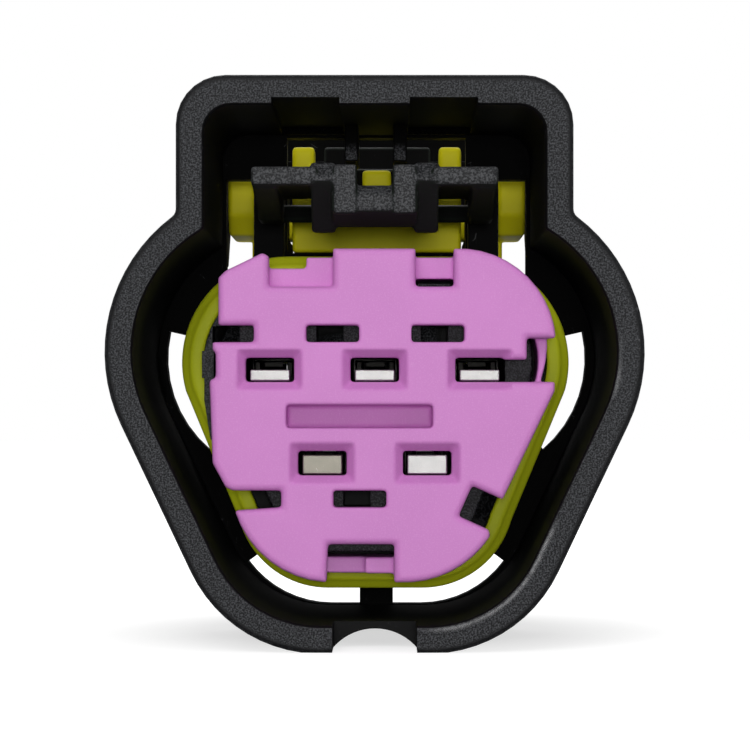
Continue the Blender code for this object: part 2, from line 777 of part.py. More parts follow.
def cut_windows(home):
    outer = LOBE_RADIUS - SHROUD_WALL - SIDE_WINDOW_EDGE
    inner = outer - SIDE_WINDOW_WIDTH
    side = arc(LOBE_X, LOBE_Z, outer, SIDE_WINDOW_LOW, SIDE_WINDOW_HIGH, 8)
    side += arc(LOBE_X, LOBE_Z, inner, SIDE_WINDOW_HIGH, SIDE_WINDOW_LOW, 8)
    window("side_window", home, side)
    low = FOOT_RADIUS - SHROUD_WALL - FOOT_WINDOW_EDGE
    high = low - FOOT_WINDOW_WIDTH
    foot = [(FOOT_WINDOW_INNER, FOOT_Z - low)]
    foot += arc(TOWER_LOWER_X, FOOT_Z, low, -90, FOOT_WINDOW_HIGH, 8)
    foot += arc(TOWER_LOWER_X, FOOT_Z, high, FOOT_WINDOW_HIGH, -90, 8)
    foot += [(FOOT_WINDOW_INNER, FOOT_Z - high)]
    window("foot_window", home, foot)
    low = SEAL_TOP - CORNER_WINDOW_DROP
    high = SEAL_TOP + CORNER_WINDOW_RISE
    window("corner_window", home, rectangle(CORNER_WINDOW_INNER, CORNER_WINDOW_OUTER, low, high))
    front, back = WEB_FRONT - PAST, SHROUD_DEPTH + PAST
    box("gate", home, -GATE_HALF, GATE_HALF, front, back, DECK_TOP, DECK_TOP + GATE_HEIGHT)


def cut_keyway(home):
    """Slot through the front of the foot wall, and a shallow groove under its whole length."""
    box("key_slot", home, -KEY_HALF, KEY_HALF, -PAST, KEY_DEPTH, -PAST, SHROUD_WALL + PAST)
    radius = (KEY_HALF**2 + KEY_ARCH**2) / (2 * KEY_ARCH)
    pipe("key_groove", home, 0, KEY_ARCH - radius, radius, -PAST, SHROUD_DEPTH + PAST, 64)


def cut_channels(home):
    both_sides(
        box,
        "channel",
        home,
        CHANNEL_INNER,
        CHANNEL_OUTER,
        -PAST,
        WEB_FRONT - PAST,
        CEILING_Z - PAST,
        CEILING_Z + CHANNEL_RISE,
    )


def cut_cavities(home):
    half = CAVITY_WIDTH / 2
    rise = CAVITY_HEIGHT / 2
    front, back = NOSE_FRONT - PAST, BORE_FRONT + PAST
    for number, (x, z, _) in enumerate(terminal_places(), 1):
        box(f"cavity_{number}", home, x - half, x + half, front, back, z - rise, z + rise)
        pipe(f"bore_{number}", home, x, z, BORE_RADIUS, BORE_FRONT, BARREL_BACK + PAST)


def cut_lock_seats(home):
    """Room in the nose for the terminal lock's trough and tongue, and blind pockets."""
    gap = SLIDE_GAP / 2
    rise = LOCK_TROUGH_HEIGHT / 2 + LOCK_TROUGH_WALL + gap
    reach = LOCK_TROUGH_WALL + gap
    left, right = LOCK_TROUGH_LEFT - reach, LOCK_TROUGH_RIGHT + reach
    back = TROUGH_BACK + SLIDE_GAP
    box("trough_seat", home, left, right, NOSE_FRONT - PAST, back, TROUGH_Z - rise, TROUGH_Z + rise)
    rise = LOCK_TONGUE_THICKNESS / 2 + gap
    left, right = LOCK_TROUGH_LEFT - gap, LOCK_TROUGH_RIGHT + gap
    back = LOCK_TONGUE_BACK + SLIDE_GAP
    box("tongue_seat", home, left, right, NOSE_FRONT, back, TROUGH_Z - rise, TROUGH_Z + rise)
    back = NOSE_FRONT + POCKET_DEPTH
    for number, (x0, x1, z0, z1) in enumerate(slot_places(), 1):
        left, right = x0 + POCKET_LEFT, x1 - POCKET_RIGHT
        box(f"pocket_{number}", home, left, right, NOSE_FRONT - PAST, back, z0, z1)


def cut_pivots(home):
    deep = PEDESTAL_OUTER - PIVOT_WALL
    radius = PIVOT_RADIUS + SLIDE_GAP
    for side in (-1, 1):
        start = side * (PEDESTAL_INNER - PAST)
        name = "pivot_hole_right" if side > 0 else "pivot_hole_left"
        pin(name, home, start, side * deep, radius)


def pin(name, home, x0, x1, radius):
    """A cylinder on the latch lever's axis."""
    cylinder(name, home, x0, x1, radius, PIVOT_DEPTH, PIVOT_DEPTH, PIVOT_Z, PIVOT_Z, 16)


def make_housing(cutters, home, look):
    housing = Piece("connector_housing", cutters)
    shroud_cup(housing.base)
    added = housing.add()
    for add in (add_tower, add_cheek, add_barrel, add_deck, add_guard, add_stops):
        add(added)
    removed = housing.cut()
    for cut in (cut_windows, cut_keyway, cut_channels, cut_cavities, cut_lock_seats, cut_pivots):
        cut(removed)
    housing.finish(home, look)


# Terminal lock


def slot_places():
    """Service slots in the lock's plate: x0, x1, z0, z1."""
    places = []
    for x, z, row in terminal_places():
        middle_x = x - (LOCK_SLOT_LEFT if row > 0 else LOCK_LOW_SLOT_LEFT)
        middle_z = z + (LOCK_SLOT_UP if row > 0 else -LOCK_LOW_SLOT_DOWN)
        half = LOCK_SLOT_WIDTH / 2
        rise = LOCK_SLOT_HEIGHT / 2
        places.append((middle_x - half, middle_x + half, middle_z - rise, middle_z + rise))
    return places


def square_notch():
    """The turned square notch in the plate's lower right edge, from its mouth round to it."""
    x = PITCH / 2 + LOCK_SQUARE_RIGHT
    z = LOW_ROW_Z - LOCK_SQUARE_DOWN
    reach = LOCK_SQUARE_SIZE / math.sqrt(2)
    return arc(x, z, reach, LOCK_SQUARE_TURN - 45, LOCK_SQUARE_TURN - 315, 3)


def lock_right_side():
    """From the bottom notch up to the top right notch."""
    sill = TOP_ROW_Z - LOCK_WINDOW_HEIGHT / 2
    flap = TOP_ROW_Z + LOCK_FLAP_UP
    lintel = TOP_ROW_Z + LOCK_CORNER_UP
    window_edge = PITCH + LOCK_WINDOW_WIDTH / 2 - SEAT_GAP
    corner = PITCH + LOCK_CORNER_OUT
    edge = TOWER_UPPER_X + TOWER_UPPER_RADIUS + LOCK_RIGHT_OUT
    start = math.degrees(math.asin((lintel - LOCK_UPPER_Z) / LOCK_UPPER_RADIUS))
    notch_right = LOCK_TOP_RIGHT_NOTCH[1]
    end = math.degrees(math.acos((notch_right - LOCK_UPPER_X) / LOCK_UPPER_RADIUS))
    right = TOWER_LOWER_X - LOCK_LOWER_RIGHT_IN
    line = [(LOCK_BOTTOM_NOTCH[1], LOCK_BOTTOM_Z)]
    line += arc(right, LOCK_LOWER_Z, LOCK_LOWER_RADIUS, *LOCK_LOWER_RIGHT_ARC, 7)
    line += square_notch()
    line += [(edge, sill - LOCK_SHOULDER_IN), (edge, sill), (window_edge, sill)]
    line += [(window_edge, flap), (corner, flap), (corner, lintel)]
    return line + arc(LOCK_UPPER_X, LOCK_UPPER_Z, LOCK_UPPER_RADIUS, start, end, 11)


def lock_left_side():
    """From the top left notch down to the bottom notch."""
    left = LOCK_LEFT_IN - TOWER_UPPER_X - TOWER_UPPER_RADIUS
    _, x1, z0, z1 = slot_places()[0]
    _, low_x1, low_z0, low_z1 = slot_places()[3]
    tab = TOP_ROW_Z + CHEEK_TAB_UP
    step = LOCK_LEFT_STEP
    circle_x = LOCK_LOWER_LEFT_IN - TOWER_LOWER_X
    line = [
        (LOCK_TOP_LEFT_NOTCH[0], LOCK_TOP_Z - LOCK_HORN_DROP - step),
        (-LOCK_HORN_X, LOCK_TOP_Z - LOCK_HORN_DROP),
        (left + LOCK_SHOULDER_IN + LOCK_SHOULDER_CUT, LOCK_TOP_Z - LOCK_SHOULDER_DROP),
        (left + LOCK_SHOULDER_IN, LOCK_TOP_Z - LOCK_SHOULDER_DROP - LOCK_SHOULDER_CUT),
        (left + LOCK_SHOULDER_IN, z1),
        (x1, z1),
        (x1, z0),
        (left + step, z0),
        (left + step, tab + CHEEK_TAB / 2),
        (left + 2 * step, tab + CHEEK_TAB / 2 - step),
        (left + 2 * step, tab - CHEEK_TAB / 2),
        (left, tab - CHEEK_TAB / 2 - step),
        (left + step, LOW_ROW_Z),
        (left + LOCK_SHOULDER_IN + LOCK_SHOULDER_CUT, low_z1 + step),
        (left + LOCK_SHOULDER_IN + 2 * LOCK_SHOULDER_CUT, low_z1),
        (low_x1, low_z1),
        (low_x1, low_z0),
    ]
    return line + arc(circle_x, LOCK_LOWER_Z, LOCK_LOWER_RADIUS, *LOCK_LOWER_LEFT_ARC, 8)


def lock_outline():
    """Outline of the lock's plate with the notches in its edge."""
    floor = LOCK_TOP_Z - LOCK_NOTCH_DEPTH
    low_floor = LOCK_BOTTOM_Z + LOCK_NOTCH_DEPTH
    top = [(x, floor) for x in reversed(LOCK_TOP_RIGHT_NOTCH)]
    top += [(LOCK_TOP_RIGHT_NOTCH[0], LOCK_TOP_Z), (LOCK_TOP_LEFT_NOTCH[1], LOCK_TOP_Z)]
    top += [(x, floor) for x in reversed(LOCK_TOP_LEFT_NOTCH)]
    bottom = [(x, low_floor) for x in LOCK_BOTTOM_NOTCH]
    return lock_right_side() + top + lock_left_side() + bottom


def add_lock_ring(home):
    """The ring behind the plate that slides over the nose."""
    step = LOCK_RING_STEP
    ring = round_triangle(
        LOCK_UPPER_X,
        LOCK_UPPER_Z,
        LOCK_UPPER_RADIUS - step,
        TOWER_LOWER_X - LOCK_LOWER_LEFT_IN,
        LOCK_LOWER_Z,
        LOCK_LOWER_RADIUS - step,
    )
    plate_back = LOCK_FRONT + LOCK_PLATE
    plate("lock_ring", home, ring, plate_back - LOCK_EDGE, plate_back + LOCK_RING_DEPTH)


def cut_lock_ring(home):
    """Room in the ring for the nose and its rib. Two arcs are left, one with a lower part."""
    plate_back = LOCK_FRONT + LOCK_PLATE
    front = plate_back - PAST
    back = plate_back + LOCK_RING_DEPTH + PAST
    plate("nose_room", home, tower_outline(SLIDE_GAP - NOSE_STEP), front, back)
    left, right = NOSE_KEY_LEFT - SLIDE_GAP, NOSE_KEY_RIGHT + SLIDE_GAP
    high = NOSE_TOP + NOSE_KEY_RISE + SLIDE_GAP
    box("key_room", home, left, right, front, back, TROUGH_Z, high)
    edge = LOCK_UPPER_X + LOCK_UPPER_RADIUS + PAST
    bottom, top = LOCK_BOTTOM_Z - PAST, LOCK_TOP_Z + PAST
    middle = TROUGH_Z - JOIN
    box("upper_room", home, -edge, LOCK_RING_LEFT, front, back, middle, top)
    left, right = LOCK_RING_BOTTOM
    box("lower_room_left", home, -edge, left, front, back, bottom, TROUGH_Z)
    box("lower_room_right", home, right, edge, front, back, bottom, TROUGH_Z)
    low = LOCK_TOP_Z - LOCK_RING_STEP - LOCK_RING_DROP
    left = LOCK_RING_LEFT - PAST
    box("ring_step", home, left, LOCK_RING_LOW_X, front, back, low, top)
    left = LOCK_RING_BOTTOM[0] - PAST
    step_back = plate_back + LOCK_BOTTOM_STEP_DEPTH
    box("bottom_step", home, left, LOCK_BOTTOM_STEP_X, front, step_back, bottom, TOWER_LOWER_Z)


def cut_lock_windows(home):
    """Funnelled windows for the tabs, and the service slots."""
    half = LOCK_WINDOW_WIDTH / 2
    rise = LOCK_WINDOW_HEIGHT / 2
    floor = LOCK_FRONT + LOCK_FUNNEL_DEPTH
    more = LOCK_FUNNEL * (1 + PAST / LOCK_FUNNEL_DEPTH)
    back = NOSE_FRONT + PAST
    for number, (x, z, _) in enumerate(terminal_places(), 1):
        wide = rectangle(x - half - more, x + half + more, z - rise - more, z + rise + more)
        tight = rectangle(x - half, x + half, z - rise, z + rise)
        rings = [(LOCK_FRONT - PAST, wide), (floor, tight), (back, tight)]
        loft(f"tab_window_{number}", home, rings)
    for number, (x0, x1, z0, z1) in enumerate(slot_places()):
        if x0 > LOCK_TOP_LEFT_NOTCH[0]:
            box(f"slot_{number}", home, x0, x1, LOCK_FRONT - PAST, back, z0, z1)


def make_lock(cutters, home, look):
    lock = Piece("terminal_lock", cutters)
    add_lock_ring(lock.base)
    cut_lock_ring(lock.cut())
    plate_back = LOCK_FRONT + LOCK_PLATE
    plate("lock_plate", lock.add(), lock_outline(), LOCK_FRONT, plate_back, LOCK_EDGE)
    trough = lock.add()
    wall = LOCK_TROUGH_WALL
    rise = LOCK_TROUGH_HEIGHT / 2 + wall
    left, right = LOCK_TROUGH_LEFT - wall, LOCK_TROUGH_RIGHT + wall
    front = LOCK_FRONT + LOCK_EDGE
    box("trough", trough, left, right, front, TROUGH_BACK, TROUGH_Z - rise, TROUGH_Z + rise)
    rise = LOCK_TONGUE_THICKNESS / 2
    left, right = LOCK_TROUGH_LEFT, LOCK_TROUGH_RIGHT
    front = TROUGH_BACK - wall / 2
    box("tongue", trough, left, right, front, LOCK_TONGUE_BACK, TROUGH_Z - rise, TROUGH_Z + rise)
    opened = lock.cut()
    rise = LOCK_TROUGH_HEIGHT / 2
    back = LOCK_FRONT + LOCK_TROUGH_DEPTH
    front = LOCK_FRONT - PAST
    box("trough_room", opened, left, right, front, back, TROUGH_Z - rise, TROUGH_Z + rise)
    cut_lock_windows(opened)
    lock.finish(home, look)


# Latch lever


def rail_profile():
    """Side view of one of the lever's two rails: hooked nose, pivot hub, rising tail."""
    top = HOOK_Z + RAIL_HEIGHT
    catch = HOOK_Z + CATCH_HEIGHT
    return [
        (LATCH_FRONT + LATCH_SLOPE, top),
        (LATCH_FRONT, top - LATCH_SLOPE),
        (HOOK_LENGTH, HOOK_Z),
        (HOOK_LENGTH + LATCH_SLOPE, HOOK_Z),
        (HOOK_LENGTH + LATCH_SLOPE, catch),
        (PIVOT_DEPTH - HUB_RADIUS, PIVOT_Z - HUB_RADIUS),
        (PIVOT_DEPTH + HUB_RADIUS, PIVOT_Z - HUB_RADIUS),
        (PAD_FRONT - 2 * HUB_RADIUS, PAD_Z + 2 * LATCH_EDGE),
        (PAD_FRONT + PAD_THICKNESS, PAD_Z + 2 * LATCH_EDGE),
        (PAD_FRONT + PAD_THICKNESS, PAD_Z + PAD_THICKNESS - 2 * LATCH_EDGE),
        (PAD_FRONT - 2 * HUB_RADIUS, PAD_Z + PAD_THICKNESS - 2 * LATCH_EDGE),
        (PIVOT_DEPTH + HUB_RADIUS, PIVOT_Z + HUB_RADIUS),
        (PIVOT_DEPTH - 2 * HUB_RADIUS, PIVOT_Z + HUB_RADIUS),
        (WING_BACK, top - LATCH_SLOPE),
        (WING_BACK - 2 * LATCH_SLOPE, top),
    ]


def make_latch(cutters, home, look):
    latch = Piece("latch_lever", cutters)
    edge = LATCH_EDGE
    side_plate("rail_right", latch.base, RAIL_INNER, RAIL_OUTER, rail_profile(), edge)
    added = latch.add()
    side_plate("rail_left", added, -RAIL_OUTER, -RAIL_INNER, rail_profile(), edge)
    low = HOOK_Z + BAR_RISE
    lip = HOOK_Z + POST_FOOT
    catch = HOOK_LENGTH + LATCH_SLOPE - JOIN
    front = LATCH_FRONT + POST_STEP
    bar_front = front + POST_STEP
    bar_half = RAIL_INNER + edge + TOUCH
    bar = [
        (bar_front, lip),
        (HOOK_LENGTH, low),
        (catch, low),
        (catch, HOOK_Z + BAR_TOP),
        (bar_front + LIP_STEP, HOOK_Z + BAR_TOP),
        (bar_front, HOOK_Z + LIP_TOP),
    ]
    side_plate("nose_bar", added, -bar_half, bar_half, bar, edge)
    post_low = lip - edge
    post_back = front + POST_THICKNESS
    post_top = HOOK_Z + POST_HEIGHT
    outer = RAIL_INNER + 2 * TOUCH
    both_sides(box, "post", added, POST_INNER, outer, front, post_back, post_low, post_top, edge)
    wing_low = HOOK_Z + WING_BOTTOM
    wing_high = wing_low + WING_THICKNESS
    inner = RAIL_OUTER - 2 * JOIN
    front += edge / 2
    both_sides(box, "wing", added, inner, WING_HALF, front, WING_BACK, wing_low, wing_high, edge)
    leg_top = wing_low + WING_THICKNESS / 2
    leg_back = WING_BACK - 2 * edge
    leg = [
        (LATCH_FRONT + LATCH_SLOPE / 2, leg_top),
        (LATCH_FRONT + LATCH_SLOPE / 2, wing_low - edge),
        (LEG_FRONT, wing_low - LEG_DROP),
        (leg_back, wing_low - LEG_DROP),
        (leg_back, leg_top),
    ]
    both_sides(side_plate, "leg", added, LEG_INNER, WING_HALF - edge / 2, leg, edge)
    pad_top = PAD_Z + PAD_THICKNESS
    outer = RAIL_OUTER + edge
    box("pad", added, -outer, outer, PAD_FRONT, PAD_BACK, PAD_Z, pad_top, edge)
    ridge_back = PAD_BACK - 2 * edge
    ridge = [
        (ridge_back - PAD_LIP, PAD_Z + 2 * edge),
        (ridge_back, PAD_Z + 2 * edge),
        (ridge_back, pad_top + PAD_LIP),
        (ridge_back - PAD_LIP / 2, pad_top + PAD_LIP),
    ]
    side_plate("pad_ridge", added, 2 * edge - outer, outer - 2 * edge, ridge, edge)
    tip = PEDESTAL_OUTER - PIVOT_WALL - SLIDE_GAP
    inner = RAIL_OUTER - 3 * JOIN
    pin("pin_right", added, inner, tip, PIVOT_RADIUS)
    pin("pin_left", added, -inner, -tip, PIVOT_RADIUS)
    origin = place(0, PIVOT_DEPTH, PIVOT_Z)
    latch.finish(home, look, origin)


# Position lock


def make_slider(cutters, home, look):
    slider = Piece("position_lock", cutters)
    edge = SLIDER_EDGE
    box(
        "base",
        slider.base,
        -SLIDER_HALF,
        SLIDER_HALF,
        SLIDER_FRONT,
        SLIDER_BACK,
        SLIDER_BOTTOM,
        SLIDER_TOP,
        edge,
    )
    added = slider.add()
    inside = SLIDER_TOP - edge
    post_back = SLIDER_FRONT + SLIDER_POST_LENGTH
    post = [
        (SLIDER_FRONT + edge, inside),
        (post_back + SLIDER_POST_LENGTH / 2, inside),
        (post_back, SLIDER_TOP + SLIDER_POST_HEIGHT),
        (SLIDER_FRONT + edge, SLIDER_TOP + SLIDER_POST_HEIGHT),
    ]
    both_sides(side_plate, "post", added, SLIDER_POST_INNER, SLIDER_HALF, post, edge)
    half = SLIDER_TONGUE_HALF
    high = SLIDER_TOP + SLIDER_TONGUE_HEIGHT
    tongue_back = SLIDER_FRONT + edge + SLIDER_TONGUE_LENGTH
    box("tongue", added, -half, half, SLIDER_FRONT + edge, tongue_back, inside, high, edge)
    bar_front = SLIDER_BACK - SLIDER_BAR_LENGTH
    bar_high = WING_Z + SLIDER_BAR_THICKNESS
    outer = SLIDER_OUTER - edge
    box("bar", added, -outer, outer, bar_front, SLIDER_BACK, WING_Z, bar_high, edge)
    wing = [
        (SLIDER_WING_FRONT, WING_Z + SLIDER_BAR_THICKNESS),
        (SLIDER_WING_FRONT + SLIDER_BAR_THICKNESS, WING_Z),
        (SLIDER_BACK - edge, WING_Z),
        (SLIDER_BACK - edge, bar_high),
        (bar_front, bar_high + SLIDER_WING_HEIGHT),
        (SLIDER_WING_FRONT, bar_high + SLIDER_WING_HEIGHT),
    ]
    both_sides(side_plate, "wing", added, SLIDER_WING_INNER, SLIDER_OUTER, wing, edge)
    hook_inner = PEDESTAL_OUTER + SLIDE_GAP
    hook_outer = hook_inner + SLIDER_HOOK
    hook_low = DECK_TOP - DECK_THICKNESS - SLIDE_GAP - SLIDER_TOE
    hook_high = WING_Z + SLIDER_BAR_THICKNESS / 2
    back = SLIDER_BACK - edge
    both_sides(box, "hook", added, hook_inner, hook_outer, bar_front, back, hook_low, hook_high)
    toe_inner = PEDESTAL_OUTER - SLIDER_HOOK
    toe_high = hook_low + SLIDER_TOE
    both_sides(box, "toe", added, toe_inner, hook_outer, bar_front, back, hook_low, toe_high)
    thumb_back = SLIDER_BACK + SLIDER_THUMB
    low = SLIDER_BOTTOM + edge
    half = SLIDER_HALF - SLIDER_THUMB
    box("thumb", added, -half, half, back, thumb_back, low, bar_high, edge)
    slider.finish(home, look)


# Seals


def make_seal(home, look):
    """The ribbed ring around the tower, as a closed loft of its section."""
    back = SEAL_FRONT + SEAL_LENGTH
    rib = SEAL_LENGTH / (2 * SEAL_RIBS - 1)
    section = [(SEAL_FRONT, SEAT_GAP), (SEAL_FRONT, SEAL_WALL)]
    for i in range(SEAL_RIBS):
        start = SEAL_FRONT + 2 * i * rib
        section += [
            (start + rib * SEAL_RIB_FOOT, SEAL_WALL),
            (start + rib * SEAL_RIB_CREST, SEAL_REACH),
            (start + rib * (1 - SEAL_RIB_CREST), SEAL_REACH),
            (start + rib * (1 - SEAL_RIB_FOOT), SEAL_WALL),
        ]
    section += [(back, SEAL_WALL), (back, SEAT_GAP)]
    rings = [(depth, tower_outline(grow)) for depth, grow in section]
    seal = loft("perimeter_seal", home, rings, closed=True)
    seal.data.materials.append(look)
    smooth(seal)


def cable_seal_profile():
    """Half section of a ribbed sleeve with a neck, to be turned about the cable's axis."""
    front = CABLE_SEAL_BACK - CABLE_SEAL_LENGTH
    pitch = CABLE_SEAL_LENGTH / CABLE_SEAL_RIBS
    ramp = pitch * CABLE_SEAL_RAMP
    profile = [
        (CABLE_HOLE, front - CABLE_SEAL_NECK_LENGTH),
        (CABLE_SEAL_NECK, front - CABLE_SEAL_NECK_LENGTH),
        (CABLE_SEAL_NECK, front),
    ]
    for i in range(CABLE_SEAL_RIBS):
        start = front + i * pitch
        profile += [
            (CABLE_SEAL_BODY, start),
            (CABLE_SEAL_RIB, start + ramp),
            (CABLE_SEAL_RIB, start + 2 * ramp),
            (CABLE_SEAL_BODY, start + 3 * ramp),
        ]
    profile += [(CABLE_SEAL_BODY, CABLE_SEAL_BACK), (CABLE_HOLE, CABLE_SEAL_BACK)]
    bm = bmesh.new()
    points = [bm.verts.new((radius * MM, frame_y(depth) * MM, 0)) for radius, depth in profile]
    for near, far in zip(points, points[1:] + points[:1]):
        bm.edges.new((far, near))
    mesh_data = bpy.data.meshes.new("cable_seal")
    bm.to_mesh(mesh_data)
    bm.free()
    return mesh_data


def make_cable_seals(home, look):
    mesh_data = cable_seal_profile()
    mesh_data.materials.append(look)
    for number, (x, z, _) in enumerate(terminal_places(), 1):
        seal = add_object(f"cable_seal_{number}", mesh_data, home)
        seal.location = (x * MM, 0, z * MM)
        turned = seal.modifiers.new("turned", "SCREW")
        turned.axis = "Y"
        turned.steps = CABLE_SEAL_SIDES
        turned.render_steps = CABLE_SEAL_SIDES
        turned.use_merge_vertices = True
        turned.merge_threshold = 0.00001
        turned.use_smooth_shade = True


# Contacts and hoods, modelled around the terminal's axis with the sheet's floor below


def make_contact(number, x, z, row, cutters, home, look):
    contact = Piece(f"contact_{number}", cutters)
    low = z - CONTACT_LOW
    high = z + CONTACT_HIGH
    half = CONTACT_HALF
    sheet = CONTACT_SHEET
    floor_top = low + sheet
    height = CONTACT_NOSE_HEIGHT if row > 0 else LOWER_CONTACT_NOSE_HEIGHT
    nose_low = z - CONTACT_NOSE_LOW
    nose_back = CONTACT_FRONT + CONTACT_NOSE_LENGTH
    wide = CONTACT_NOSE_WIDTH / 2
    box(
        "nose",
        contact.base,
        x - wide,
        x + wide,
        CONTACT_FRONT,
        nose_back,
        nose_low,
        nose_low + height,
        CONTACT_NOSE_EDGE,
    )
    added = contact.add()
    strip = half - sheet
    front = nose_back - sheet
    inside = low + sheet / 2
    strip_back = GRIP_FRONT - sheet / 2
    strip_low, strip_high = low + 2 * TOUCH, floor_top - TOUCH
    box("strip", added, x - strip, x + strip, front + TOUCH, strip_back, strip_low, strip_high)
    floor = half - sheet / 2
    back = CONTACT_BOX_BACK - TOUCH
    box("floor", added, x - floor, x + floor, front, back, low + TOUCH, floor_top)
    for word, side in (("left", -1), ("right", 1)):
        wall = sorted((x + side * half, x + side * strip))
        box(f"wall_{word}", added, *wall, CONTACT_BOX_FRONT, CONTACT_BOX_BACK, low, high)
        outer = strip - TOUCH
        wing = sorted((x + side * outer, x + side * (outer - sheet)))
        crimp_back = CRIMP_FRONT + CRIMP_LENGTH
        box(f"crimp_{word}", added, *wing, CRIMP_FRONT, crimp_back, inside, low + CRIMP_HEIGHT)
    back -= TOUCH
    spring = [
        (back - sheet, inside),
        (back, inside),
        (back, high),
        (CONTACT_BOX_FRONT + SPRING_LIP, z + sheet),
        (CONTACT_BOX_FRONT, z + 2 * sheet),
        (CONTACT_BOX_FRONT, z + sheet),
        (CONTACT_BOX_FRONT + SPRING_LIP, z),
        (back - sheet, high - sheet),
    ]
    tongue = half - 2 * sheet
    side_plate("spring", added, x - tongue, x + tongue, spring)
    outer = CABLE_SEAL_NECK + SEAT_GAP + sheet
    grip_back = GRIP_FRONT + GRIP_LENGTH
    pipe("grip", added, x, z, outer, GRIP_FRONT - sheet, grip_back, 16)
    removed = contact.cut()
    front, back = GRIP_FRONT - PAST, grip_back + PAST
    pipe("grip_room", removed, x, z, outer - sheet, GRIP_FRONT, back, 16)
    box("grip_seam", removed, x - sheet, x + sheet, front, back, z, z + outer + PAST)
    pipe("wire_way", removed, x, z, CABLE_HOLE, front, GRIP_FRONT + PAST, 16)
    contact.finish(home, look)


def make_hood(number, x, z, cutters, home, look):
    hood = Piece(f"spring_hood_{number}", cutters)
    sheet = HOOD_SHEET
    inner = CONTACT_HALF + SEAT_GAP
    low = z - CONTACT_LOW - SEAT_GAP
    high = z + CONTACT_HIGH + SEAT_GAP
    front = CONTACT_BOX_FRONT + SEAT_GAP
    box(
        "sleeve",
        hood.base,
        x - inner - sheet,
        x + inner + sheet,
        front,
        HOOD_BACK,
        low - sheet,
        high + sheet,
        sheet / 2,
    )
    room = hood.cut()
    box("sleeve_room", room, x - inner, x + inner, front - PAST, HOOD_BACK + PAST, low, high)
    hood.finish(home, look)


def main():
    for old in list(bpy.data.objects):
        bpy.data.objects.remove(old)
    home = collection("waterproof_connector", bpy.context.scene.collection)
    cutters = collection("cutters", bpy.context.scene.collection)
    black = material("black_moulding", (0.03, 0.032, 0.035), 0.6)
    black_latch = material("black_latch_moulding", (0.028, 0.03, 0.033), 0.5)
    pink = material("orchid_moulding", (0.6, 0.22, 0.56), 0.45)
    yellow = material("yellow_moulding", (0.55, 0.47, 0.01), 0.4)
    olive = material("olive_silicone", (0.2, 0.24, 0.02), 0.5)
    tin = material("tinned_sheet", (0.8, 0.8, 0.78), 0.3, 1.0)
    steel = material("spring_steel", (0.6, 0.6, 0.58), 0.35, 1.0)
    make_housing(cutters, home, black)
    make_latch(cutters, home, black_latch)
    make_lock(cutters, home, pink)
    make_slider(cutters, home, yellow)
    make_seal(home, olive)
    make_cable_seals(home, olive)
    for number, (x, z, row) in enumerate(terminal_places(), 1):
        make_contact(number, x, z, row, cutters, home, tin)
        make_hood(number, x, z, cutters, home, steel)
    for cutter in cutters.all_objects:
        cutter.hide_render = True
        cutter.display_type = "WIRE"


main()
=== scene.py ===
import json
import math

import bmesh
import bpy
from mathutils import Matrix, Vector

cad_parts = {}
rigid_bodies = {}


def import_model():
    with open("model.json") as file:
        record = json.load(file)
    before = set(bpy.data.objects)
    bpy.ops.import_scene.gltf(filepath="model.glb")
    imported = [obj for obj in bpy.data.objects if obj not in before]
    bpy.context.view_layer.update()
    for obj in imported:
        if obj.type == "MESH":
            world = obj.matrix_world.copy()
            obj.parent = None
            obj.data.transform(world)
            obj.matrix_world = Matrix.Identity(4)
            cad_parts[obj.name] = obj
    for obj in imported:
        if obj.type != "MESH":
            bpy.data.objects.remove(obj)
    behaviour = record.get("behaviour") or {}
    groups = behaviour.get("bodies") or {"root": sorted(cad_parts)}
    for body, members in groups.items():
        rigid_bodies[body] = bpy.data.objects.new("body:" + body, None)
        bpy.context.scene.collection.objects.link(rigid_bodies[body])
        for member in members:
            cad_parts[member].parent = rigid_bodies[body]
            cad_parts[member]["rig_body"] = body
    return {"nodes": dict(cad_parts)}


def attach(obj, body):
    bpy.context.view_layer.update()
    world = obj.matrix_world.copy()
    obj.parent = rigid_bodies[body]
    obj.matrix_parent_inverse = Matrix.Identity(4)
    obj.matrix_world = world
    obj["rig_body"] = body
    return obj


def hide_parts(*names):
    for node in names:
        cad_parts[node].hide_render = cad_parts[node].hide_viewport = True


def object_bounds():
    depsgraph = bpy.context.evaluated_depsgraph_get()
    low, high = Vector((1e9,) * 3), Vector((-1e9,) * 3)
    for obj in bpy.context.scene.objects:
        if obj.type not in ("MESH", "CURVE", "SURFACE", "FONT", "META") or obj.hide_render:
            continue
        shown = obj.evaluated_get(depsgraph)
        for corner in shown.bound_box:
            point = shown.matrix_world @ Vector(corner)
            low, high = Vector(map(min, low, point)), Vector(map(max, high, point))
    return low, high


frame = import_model()
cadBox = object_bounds()
mm = 0.001
rimY = cadBox[0].y / mm  # front rim, in millimetres: a depth counts back from here
print("frame loaded:", len(frame["nodes"]), "nodes")


# Node helpers


def addNode(tree, kind, **settings):
    node = tree.nodes.new(kind)
    for name, value in settings.items():
        setattr(node, name, value)
    return node


def setInputs(node, values):
    for name, value in values.items():
        node.inputs[name].default_value = value
    return node


def feed(tree, socket, value):  # a number, a vector or another node's output
    if isinstance(value, bpy.types.NodeSocket):
        tree.links.new(value, socket)
    else:
        socket.default_value = value


def newGroup(name, inputs, outputs, kind="ShaderNodeTree"):
    tree = bpy.data.node_groups.new(name, kind)
    for label, socketKind, value in inputs:
        socket = tree.interface.new_socket(label, in_out="INPUT", socket_type=socketKind)
        if value is not None:
            socket.default_value = value
    for label, socketKind in outputs:
        tree.interface.new_socket(label, in_out="OUTPUT", socket_type=socketKind)
    return tree, tree.nodes.new("NodeGroupInput"), tree.nodes.new("NodeGroupOutput")


